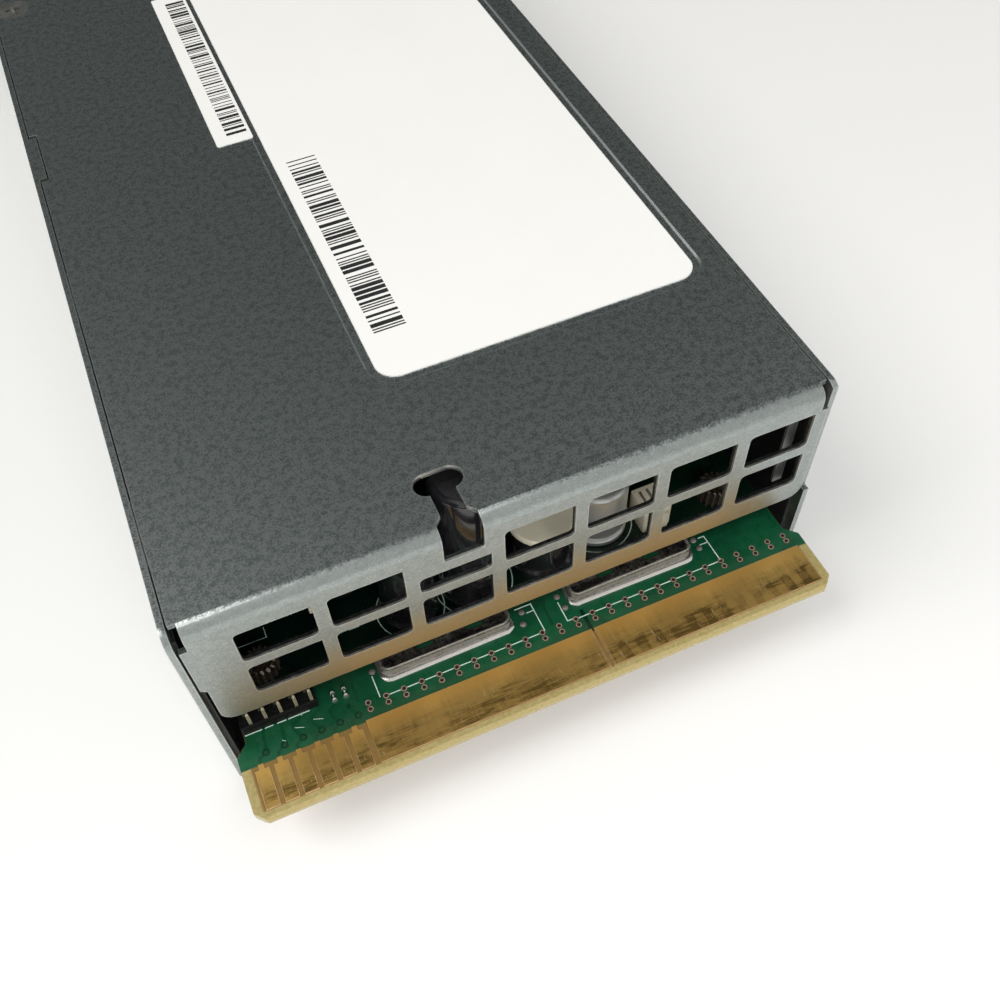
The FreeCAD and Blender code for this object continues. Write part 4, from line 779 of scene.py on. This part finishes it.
class SUPPLY_OT_soft_edges(bpy.types.Operator):
    """Round the sharp edges of sheet metal and moulded nodes a little"""
    bl_idname = "supply.soft_edges"
    bl_label = "Soft edges"

    def execute(self, context):
        for name, scale in SOFT_EDGES.items():
            made = frame["nodes"][name]
            weld = made.modifiers.new("weld", "WELD")
            weld.merge_threshold = 1e-6
            bevel = made.modifiers.new("soft_edge", "BEVEL")
            bevel.width = sizes().edge_round * scale
            bevel.segments = 2
            bevel.limit_method = "ANGLE"
            bevel.angle_limit = math.radians(35)
            bevel.harden_normals = True
        return {"FINISHED"}


class SUPPLY_OT_vias(bpy.types.Operator):
    """Rows of open vias along the power contacts, and small solder mounds beside the bars"""
    bl_idname = "supply.vias"
    bl_label = "Vias"

    def execute(self, context):
        work = bmesh.new()
        outer = sizes().via_ring / MM
        hole = sizes().via_hole / MM
        for index in range(NARROW, PLACES):
            for depth in VIA_DEPTHS:
                x = contact_x(index) + VIA_SHIFT
                add_ring(work, x, depth, outer, hole, 0.05)
                # The hole is a flat dark disc: painted shade in place of an open hole.
                add_ring(work, x, depth, hole, 0, 0.02, index=1)
        mound = [(0.46, 0), (0.38, 0.14), (0.15, 0.22)]
        for x, depth in MOUNDS:
            add_lathe(work, mound, (x, deep(depth), BOARD_TOP), 20, [2, 2])
        place("board_vias", work, ["via_copper", "hole_dark", "dull_solder"], smooth=False)
        return {"FINISHED"}


class SUPPLY_OT_board_lines(bpy.types.Operator):
    """Printed outlines on the board, the traces under its mask, and the power contacts' rims"""
    bl_idname = "supply.board_lines"
    bl_label = "Board lines"

    def execute(self, context):
        self.add_print()
        self.add_traces()
        self.add_rims()
        return {"FINISHED"}

    def add_print(self):
        width = sizes().print_line / MM
        clear = sizes().via_ring / MM + 0.12
        work = bmesh.new()
        runs = list(BOARD_PRINT)
        for index in range(NARROW, 28):
            x = contact_x(index) + VIA_SHIFT
            if -22.05 < x < 0 or 6.0 < x < 28:
                runs.append([(x + clear, VIA_DEPTHS[0]), (x + PITCH - clear, VIA_DEPTHS[0])])
        for run in (*runs, *CARD_PRINT):
            add_line(work, run, width, PRINT_THICK)
        for run in THIN_PRINT:
            add_line(work, run, width / 2, 0.02)
        for node in ("output_capacitors", "polymer_capacitors"):
            for (x, y, _), radius, _ in round_solids(node):
                add_ring(work, x, y - GRILLE_Y, radius + 0.9, radius + 0.9 - width, PRINT_THICK, 56)
        place("board_print", work, ["board_print"], smooth=False)

    def add_traces(self):
        width = sizes().trace / MM
        ring = sizes().via_ring / MM
        work = bmesh.new()
        for index in range(NARROW):
            x = contact_x(index)
            via_x, via_depth = x + 1.1, -3.05
            bend_x = via_x - (0.75 if index > 1 else -0.3)
            add_line(work, [(x, -4.3), (x + 0.1, -3.6), (via_x, via_depth)], width, 0.010)
            add_line(work, [(via_x, via_depth), (bend_x, -1.7), (bend_x, -0.9), (x + 1.6, -0.1),
                            (x + 1.6, 0.2)], width, 0.012)
            add_ring(work, via_x, via_depth, ring + 0.08, ring - 0.1, 0.018, 24, 1)
            add_ring(work, via_x, via_depth, ring - 0.1, 0, 0.016, 24)
        for run in BAR_TRACES:
            add_line(work, run, width, 0.010)
        add_line(work, [(GAP_X, -1.2), (GAP_X, -4.35)], 0.55, 0.014, 1)
        add_ring(work, -26.4, -1.3, 0.3, 0.14, 0.018, index=1)
        place("board_traces", work, ["masked_trace", "masked_gap"], smooth=False)

    def add_rims(self):
        """Strips that leave a narrower gap between the two upper blades."""
        blades = [pair for pair in middles("power_blades") if pair[0].z > BOARD_TOP - 0.1]
        left, right = blades[0][1], blades[1][0]
        work = bmesh.new()
        for x0, x1 in ((left.x, left.x + 0.28), (right.x - 0.28, right.x)):
            add_bar(work, x0, x1, right.y, left.y, BOARD_TOP, left.z)
        place("blade_rims", work, ["gold_plate"], smooth=False)


# (inset, rise) from the foot of a bus bar's wall to its sunk top
BAR_WALL = ((0.0, 0.0), (0.0, 0.28), (0.14, 0.42), (0.20, 0.60), (0.16, 1.40), (0.10, 1.60),
            (0.08, 1.85), (0.18, 2.05), (0.32, 2.10), (0.46, 2.02), (0.56, 1.84), (0.70, 1.80))
BAR_ENDS = ((0.2, 2.0), (1.1, 1.1))        # what each bar's left and right end lose
SOLDER_SLOPE = ((0.62, 0.0), (0.60, 0.16), (0.42, 0.27), (0.10, 0.36), (-0.3, 0.40))
BAR_SLOTS = ((1.5, 0.42, 0, 1.81), (1.15, 0.26, 1, 1.82))   # half sizes, finish and rise of the flat ovals painted as openings in each bar's top


class SUPPLY_OT_bus_bars(bpy.types.Operator):
    """Tinned tray-shaped bars over the power contacts, with a bead and solder along the foot"""
    bl_idname = "supply.bus_bars"
    bl_label = "Bus bars"

    def execute(self, context):
        bars, solder, slots = bmesh.new(), bmesh.new(), bmesh.new()
        radius = 1.5
        for (a, b), (left, right) in zip(middles("bus_bars"), BAR_ENDS):
            x0, x1 = a.x + left, b.x - right
            layers = []
            for inset, rise in BAR_WALL:
                wave = 0.05 if 0.3 < rise < 2.2 else 0.0
                outline = round_outline(x0 + inset, x1 - inset, a.y + inset, b.y - inset,
                                        max(radius - inset, 0.35))
                layers.append([(x, y + wave * math.sin(2.1 * x), a.z + rise) for x, y in outline])
            add_loft(bars, layers)
            layers = []
            for outset, rise in SOLDER_SLOPE:
                outline = round_outline(x0 - 0.35 * outset, x1 + 0.35 * outset, a.y - outset, b.y,
                                        radius)
                layers.append([(x, y + 0.10 * math.sin(1.7 * x) + 0.05 * math.sin(5.3 * x),
                                a.z + rise) for x, y in outline])
            add_loft(solder, layers)
            # Openings in the bar's top are flat ovals: painted shade round a patch of the board's green.
            for x in ((a.x + b.x) / 2 - 3.6, (a.x + b.x) / 2 + 3.6):
                for wide, tall, index, rise in BAR_SLOTS:
                    y = a.y + 1.75
                    outline = round_outline(x - wide, x + wide, y - tall, y + tall, tall)
                    add_loft(slots, [at_height(outline, a.z + rise)], index)
        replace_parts(place("bus_bar_pair", bars, ["tinned_copper"]), "bus_bars")
        place("bar_solder", solder, ["bright_tin"])
        place("painted_bar_openings", slots, ["hole_dark", "masked_trace"], smooth=False)
        return {"FINISHED"}


SOLDER_MOUND = ((0.0, 0.0), (0.02, 0.3), (0.12, 0.65), (0.24, 0.9), (0.29, 1.0))


class SUPPLY_OT_chip_parts(bpy.types.Operator):
    """Chip capacitors: dark bodies between round mounds of solder"""
    bl_idname = "supply.chip_parts"
    bl_label = "Chip parts"

    def execute(self, context):
        work = bmesh.new()
        long = 0.6              # a mound's length
        for a, b in middles("chip_capacitors"):
            x = (a.x + b.x) / 2
            add_soft_box(work, (a.x + 0.16, a.y + 0.45, a.z), (b.x - 0.16, b.y - 0.45, b.z - 0.38),
                         0.06)
            add_soft_box(work, (x - 0.09, a.y + 0.64, b.z - 0.42),
                         (x + 0.09, b.y - 0.64, b.z - 0.34), 0.02, 2)
            for y in (a.y, b.y - long):
                layers = []
                for inset, rise in SOLDER_MOUND:
                    outline = round_outline(a.x + inset, b.x - inset, y + inset, y + long - inset,
                                            max(0.28 - inset, 0.005), 4)
                    layers.append(at_height(outline, a.z + rise * (b.z - a.z)))
                add_loft(work, layers, 1)
        made = place("chip_pair", work, ["masked_gap", "bright_tin", "board_print"],
                     slot="tan_ceramic")
        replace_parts(made, "chip_capacitors")
        return {"FINISHED"}


class SUPPLY_OT_film_parts(bpy.types.Operator):
    """Dipped film capacitors with round edges, and two small parts on the upright card"""
    bl_idname = "supply.film_parts"
    bl_label = "Film parts"

    def execute(self, context):
        work = bmesh.new()
        for a, b in middles("film_capacitors"):
            add_soft_box(work, (a.x, a.y, a.z + 0.6), b, 0.9, 0 if a.x < 0 else 1, 4)
            for x in (a.x + 0.9, b.x - 0.9):
                add_lathe(work, [(0.3, 0.0), (0.3, 0.8)], (x, (a.y + b.y) / 2, a.z), 12, [2])
        made = place("film_pair", work, ["black_plastic", "tan_ceramic", "bright_tin"],
                     slot="tan_ceramic")
        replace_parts(made, "film_capacitors")

        a, b = low("control_card"), high("control_card")
        work = bmesh.new()
        for x0, x1, depth, rise in ((b.x, b.x + 0.8, 0.5, 12.4), (a.x - 0.8, a.x, 0.6, 10.6)):
            y, z = a.y + depth, a.z + rise
            add_soft_box(work, (x0, y, z), (x1, y + 1.2, z + 1.5), 0.12)
        place("card_parts", work, ["cream_plastic"])
        return {"FINISHED"}


class SUPPLY_OT_cans(bpy.types.Operator):
    """Electrolytic cans with crimps, rolled sleeves and scored tops"""
    bl_idname = "supply.cans"
    bl_label = "Capacitor cans"

    def execute(self, context):
        work = bmesh.new()
        for foot, r, h in round_solids("output_capacitors"):
            profile = [(r * 0.5, 0.0), (r - 0.5, 0.0), (r - 0.15, 0.25), (r, 0.7), (r, 1.5),
                       (r - 0.28, 1.9), (r - 0.28, 2.3), (r, 2.7), (r, h - 0.7),
                       (r - 0.12, h - 0.25), (r - 0.45, h), (r - 0.9, h - 0.05),
                       (r - 1.1, h - 0.3), (r * 0.4, h - 0.3)]
            add_lathe(work, profile, foot, 64, [0] * 11 + [1, 1])
            x, y, z = foot
            for half_x, half_y in ((0.12, r * 0.62), (r * 0.62, 0.12)):
                add_bar(work, x - half_x, x + half_x, y - half_y, y + half_y,
                        z + h - 0.31, z + h - 0.26, 1)
        made = place("output_cans", work, ["black_sleeve", "black_plastic"])
        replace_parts(made, "output_capacitors")

        work = bmesh.new()
        for foot, r, h in round_solids("polymer_capacitors"):
            profile = [(r * 0.5, 0.0), (r - 0.3, 0.0), (r, 0.3), (r, 1.0), (r - 0.25, 1.3),
                       (r - 0.55, 1.45), (r - 0.2, 1.9), (r - 0.15, 2.6), (r - 0.2, h - 1.0),
                       (r - 0.3, h - 0.5), (r - 0.6, h - 0.15), (r - 1.1, h), (r * 0.4, h)]
            add_lathe(work, profile, foot, 64, [1] + [0] * 11)
        made = place("polymer_cans", work, ["silver_can", "black_plastic"])
        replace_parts(made, "polymer_capacitors")
        return {"FINISHED"}


class SUPPLY_OT_drum(bpy.types.Operator):
    """Drum choke: glossy black body and a moulded pale cap with a rounded rim"""
    bl_idname = "supply.drum"
    bl_label = "Drum choke"

    def execute(self, context):
        work = bmesh.new()
        foot, r, h = next(round_solids("drum_choke"))
        add_lathe(work, [(r * 0.4, 0), (r - 0.1, 0.0), (r, 0.3), (r, 1.6), (r - 0.45, 1.9),
                         (r - 0.5, h - 1.2), (r, h - 0.9), (r, h), (r * 0.4, h)], foot, 64)
        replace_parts(place("drum_body", work, ["black_sleeve"]), "drum_choke")
        work = bmesh.new()
        _, r, h = next(round_solids("choke_cap"))
        foot = (foot[0], foot[1], low("choke_cap").z)
        add_lathe(work, [(r * 0.6, 0), (r - 0.25, 0.0), (r, 0.25), (r, h - 0.35), (r - 0.35, h),
                         (r * 0.3, h)], foot, 64)
        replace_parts(place("drum_cap", work, ["cream_plastic"]), "choke_cap")
        return {"FINISHED"}


def wind(work, a, b, hole, turns, wire_r):
    """A toroid in the box of its plain solid, with separate turns of wire."""
    middle = (a + b) / 2
    height = b.z - a.z
    inner = hole + 2 * wire_r
    outer = (b.x - a.x) / 2 - 2 * wire_r
    foot, top = 2 * wire_r, height - 2 * wire_r
    profile = [(inner, foot), (outer, foot), (outer, top), (inner, top), (inner, foot)]
    add_lathe(work, profile, (middle.x, middle.y, a.z), 40)
    path = [(inner - wire_r, foot), (inner - wire_r, top), (inner, height - wire_r),
            (outer, height - wire_r), (outer + wire_r, top), (outer + wire_r, foot),
            (outer, wire_r), (inner, wire_r)]
    for x, y in circle(turns):
        points = [Vector((middle.x + r * x, middle.y + r * y, a.z + z)) for r, z in path]
        add_tube(work, points, wire_r * 0.96, 6, 1, closed=True)


# node, piece, radius of the hole, turns, radius of the wire and its finish
CHOKES = (("ring_chokes", "sense_rings", 0.55, 15, 0.26, "dark_enamel"),
          ("boost_choke", "boost_ring", 4.0, 40, 0.6, "enamelled_copper"),
          ("filter_choke", "filter_ring", 3.4, 34, 0.55, "enamelled_copper"))


class SUPPLY_OT_chokes(bpy.types.Operator):
    """Ring chokes with their turns of enamelled wire; the small ones are low, by the grille"""
    bl_idname = "supply.chokes"
    bl_label = "Ring chokes"

    def execute(self, context):
        radius = sizes().ring_radius / MM
        for node, piece, hole, turns, wire_r, finish in CHOKES:
            work = bmesh.new()
            for a, b in middles(node):
                if node == "ring_chokes":
                    x = (a.x + b.x) / 2 - (1.2 if a.x > 0 else 0.0)
                    b = Vector((x + radius, a.y + 2 * radius, a.z + 3.6))
                    a = Vector((x - radius, a.y, a.z))
                wind(work, a, b, hole, turns, wire_r)
            made = place(piece, work, ["dark_ferrite", finish], slot="dark_ferrite")
            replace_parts(made, node)
        return {"FINISHED"}


def add_pin(work, x, y, half, z0, z1):
    """A square pin with a pointed tip."""
    corners = [(x + half * i, y + half * j) for i, j in ((-1, -1), (1, -1), (1, 1), (-1, 1))]
    tip = [(x + 0.4 * (px - x), y + 0.4 * (py - y)) for px, py in corners]
    add_loft(work, [at_height(corners, z0), at_height(corners, z1 - 0.4), at_height(tip, z1)])


class SUPPLY_OT_connectors(bpy.types.Operator):
    """Sense connector with its latch and slots, and the soft-edged pin header"""
    bl_idname = "supply.connectors"
    bl_label = "Connectors"

    def execute(self, context):
        a, b = low("sense_connector"), high("sense_connector")
        work = bmesh.new()
        add_soft_box(work, (a.x, a.y + 0.6, a.z), b, 0.25)
        add_soft_box(work, (a.x + 0.7, a.y, a.z + 0.6), (b.x - 0.7, a.y + 1.0, b.z - 1.2), 0.15)
        for step in range(3):
            x = a.x + 0.75 + 1.15 * step
            add_soft_box(work, (x, a.y + 0.9, b.z - 0.5), (x + 0.6, b.y - 0.6, b.z), 0.08, 1)
        made = place("sense_plug", work, ["cream_plastic", "bright_tin"])
        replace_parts(made, "sense_connector")

        a, b = low("signal_header"), high("signal_header")
        pins = middles("header_pins")
        pitch = (b.x - a.x) / len(pins)
        blocks, front = bmesh.new(), bmesh.new()
        for step in range(len(pins)):
            x0, x1 = a.x + pitch * step, a.x + pitch * (step + 1)
            add_soft_box(blocks, (x0, a.y, a.z), (x1, b.y, b.z - 0.6), 0.25)
            add_soft_box(front, (x0, a.y - 0.6, a.z), (x1, a.y + 0.1, a.z + 1.9), 0.12)
        made = place("header_blocks", blocks, ["header_black"], slot="black_plastic")
        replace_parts(made, "signal_header")
        place("header_front", front, ["header_black"])

        back, front = bmesh.new(), bmesh.new()
        for pin_low, pin_high in pins:
            middle = (pin_low + pin_high) / 2
            half = (pin_high.x - pin_low.x) / 2
            add_pin(back, middle.x, middle.y, half, pin_low.z + 0.3, pin_high.z)
            add_pin(front, middle.x + 0.45, a.y - 0.15, half * 0.85, a.z + 0.2, a.z + 4.8)
        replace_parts(place("pointed_pins", back, ["bright_tin"], smooth=False), "header_pins")
        place("front_pins", front, ["pin_plate"], smooth=False)
        return {"FINISHED"}


class SUPPLY_OT_label_print(bpy.types.Operator):
    """Plain bars of random width on the two labels; neither carries any words"""
    bl_idname = "supply.label_print"
    bl_label = "Label bars"

    def execute(self, context):
        rng = random.Random(11)
        a, b = low("barcode_label"), high("barcode_label")
        work = bmesh.new()
        outline = round_outline(a.x, b.x, a.y, b.y, 0.4, 4)
        add_loft(work, [at_height(outline, z) for z in (a.z, b.z - 0.03)])
        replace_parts(place("barcode_paper", work, ["white_label"]), "barcode_label")

        def add_bars(x0, x1, y, end, z0, z1, widths, gaps):
            while y < end:
                wide = rng.choice(widths)
                add_bar(work, x0, x1, y, y + wide, z0, z1)
                y += wide + rng.choice(gaps)

        work = bmesh.new()
        add_bars(a.x + 2.1, b.x - 0.5, a.y + 2.2, b.y - 2.2, b.z - 0.025, b.z - 0.015,
                 (0.22, 0.22, 0.44, 0.66), (0.22, 0.44, 0.66))
        a, b = low("rating_label"), high("rating_label")
        add_bars(a.x + 2.0, a.x + 6.6, a.y + 8.5, a.y + 49.5, b.z, b.z + 0.012,
                 (0.25, 0.25, 0.5, 0.75), (0.25, 0.25, 0.5, 0.75))
        place("label_bars", work, ["ink"], smooth=False)
        return {"FINISHED"}


class SUPPLY_OT_latch_spring(bpy.types.Operator):
    """The latch's torsion spring as a round wound wire"""
    bl_idname = "supply.latch_spring"
    bl_label = "Latch spring"

    def execute(self, context):
        a, b = low("latch_spring"), high("latch_spring")
        joint = next(each for each in frame["joints"] if each["name"] == "latch_swing")
        pivot = Vector(joint["pos_m"]) / MM
        coil_r = pivot.x - low("latch_lever").x - 1.8
        edge = 0.3              # from the spring's box to the wire's middle
        per_turn = 24
        count = 3 * per_turn + per_turn // 4
        points = [Vector((a.x + edge, a.y + (b.y - a.y) * 0.98, a.z + edge)),
                  Vector((a.x + edge, pivot.y + 0.6, a.z + edge))]
        for step in range(count + 1):
            turn = math.pi + 2 * math.pi * step / per_turn
            points.append(Vector((pivot.x + coil_r * math.cos(turn),
                                  pivot.y + coil_r * math.sin(turn),
                                  a.z + edge + (b.z - a.z - 2 * edge) * step / count)))
        points.append(Vector((b.x - 0.1, points[-1].y, b.z - edge)))
        work = bmesh.new()
        add_tube(work, points, 0.28, 10)
        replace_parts(place("spring_coil", work, ["spring_steel"], body="latch"), "latch_spring")
        return {"FINISHED"}


# name, place, aim, size, power in watts and colour
LAMPS = (("key", (-1.20, 0.25, 1.55), (0.0, 0.0, 0.0), 1.2, 17.0, (1.0, 0.985, 0.965)),
         ("fill", (-0.05, -0.50, 0.36), (0.0, -0.06, 0.02), 0.3, 1.5, (0.99, 0.995, 1.0)))
CAMERA_PLACE = (-0.028685, -0.156762, 0.139771)
CAMERA_TURN = ((0.92065, 0.33897, -0.19365), (-0.38747, 0.73289, -0.55923),
               (-0.04764, 0.58989, 0.80608))
CAMERA = {"lens": 38.09, "sensor_width": 36.0, "shift_x": 0.0297, "shift_y": -0.0162,
          "clip_start": 0.01}
FLOOR_HALF = 2500           # millimetres
FLOOR_DROP = 0.1


class SUPPLY_OT_stage(bpy.types.Operator):
    """Backdrop, lamps, world and the camera"""
    bl_idname = "supply.stage"
    bl_label = "Stage"

    def execute(self, context):
        self.lay_floor(context.scene)
        self.light_room(context.scene)
        self.hang_lamps(context.scene)
        view = bpy.data.cameras.new("camera")
        for name, value in CAMERA.items():
            setattr(view, name, value)
        camera = bpy.data.objects.new("camera", view)
        camera.matrix_world = Matrix.Translation(CAMERA_PLACE) @ Matrix(CAMERA_TURN).to_4x4()
        context.scene.collection.objects.link(camera)
        bpy.context.scene.camera = camera
        context.scene.view_settings.view_transform = "Standard"
        return {"FINISHED"}

    def lay_floor(self, scene):
        made = Finish("backdrop")
        cloud = made.noise(made.millimetres(), 0.004, 2.0)
        pale = colours().backdrop
        tint = made.blend(made.span(cloud, 0.3, 0.7), scaled(pale, 0.985, 0.985, 0.98), pale)
        made.tree.links.new(tint, made.shader.inputs["Base Color"])
        made.shader.inputs["Roughness"].default_value = 0.65
        work = bmesh.new()
        bmesh.ops.create_grid(work, x_segments=12, y_segments=12, size=FLOOR_HALF)
        floor = bpy.data.objects.new("floor", mesh_of("floor", work))
        floor.data.materials.append(made.material)
        floor.location.z = -FLOOR_DROP * MM
        scene.collection.objects.link(floor)

    def light_room(self, scene):
        """A bright front and a dark back, seen only in reflections; the camera sees white."""
        scene.world = bpy.data.worlds.new("room")
        scene.world.use_nodes = True
        room = Tree(scene.world.node_tree)
        room.tree.nodes.clear()
        direct = room.node("LightPath").outputs["Is Camera Ray"]
        front = room.span(room.split(room.node("TexCoord").outputs["Generated"])[1], 0.42, 0.05)
        glow = room.blend(front, (0.07, 0.078, 0.08), (0.74, 0.735, 0.72))
        seen = [room.node("Background", {"Color": tone, "Strength": 1.0}).outputs[0]
                for tone in (glow, (1, 1, 1, 1))]
        mixed = room.node("MixShader", {0: direct, 1: seen[0], 2: seen[1]})
        room.tree.links.new(mixed.outputs[0], room.node("OutputWorld").inputs[0])

    def hang_lamps(self, scene):
        for name, at, aim, size, power, tint in LAMPS:
            lamp = bpy.data.lights.new(name, "AREA")
            lamp.size = size
            lamp.energy = power
            lamp.color = tint
            light = bpy.data.objects.new(name, lamp)
            light.visible_glossy = name == "key"
            light.location = at
            way = Vector(aim) - Vector(at)
            light.rotation_euler = way.to_track_quat("-Z", "Y").to_euler()
            scene.collection.objects.link(light)


STEPS = (SUPPLY_OT_finishes, SUPPLY_OT_soft_edges, SUPPLY_OT_vias, SUPPLY_OT_board_lines,
         SUPPLY_OT_bus_bars, SUPPLY_OT_chip_parts, SUPPLY_OT_film_parts, SUPPLY_OT_cans,
         SUPPLY_OT_drum, SUPPLY_OT_chokes, SUPPLY_OT_connectors, SUPPLY_OT_label_print,
         SUPPLY_OT_latch_spring, SUPPLY_OT_stage)


class SUPPLY_PT_panel(bpy.types.Panel):
    bl_label = "Power supply"
    bl_idname = "SUPPLY_PT_panel"
    bl_space_type = "VIEW_3D"
    bl_region_type = "UI"
    bl_category = "Power supply"

    def draw(self, context):
        column = self.layout.column()
        for group in (context.scene.supply_colours, context.scene.supply_sizes):
            for name in group.__annotations__:
                column.prop(group, name)
        for step in STEPS:
            column.operator(step.bl_idname)


CLASSES = (SupplyColours, SupplySizes) + STEPS + (SUPPLY_PT_panel,)


def register():
    for each in CLASSES:
        bpy.utils.register_class(each)
    bpy.types.Scene.supply_colours = bpy.props.PointerProperty(type=SupplyColours)
    bpy.types.Scene.supply_sizes = bpy.props.PointerProperty(type=SupplySizes)


def unregister():
    del bpy.types.Scene.supply_sizes
    del bpy.types.Scene.supply_colours
    for each in reversed(CLASSES):
        bpy.utils.unregister_class(each)


def main():
    register()
    for step in STEPS:
        group, name = step.bl_idname.split(".")
        result = getattr(getattr(bpy.ops, group), name)()
        if result != {"FINISHED"}:
            raise RuntimeError("%s did not finish" % step.bl_idname)


if __name__ == "__main__":
    main()
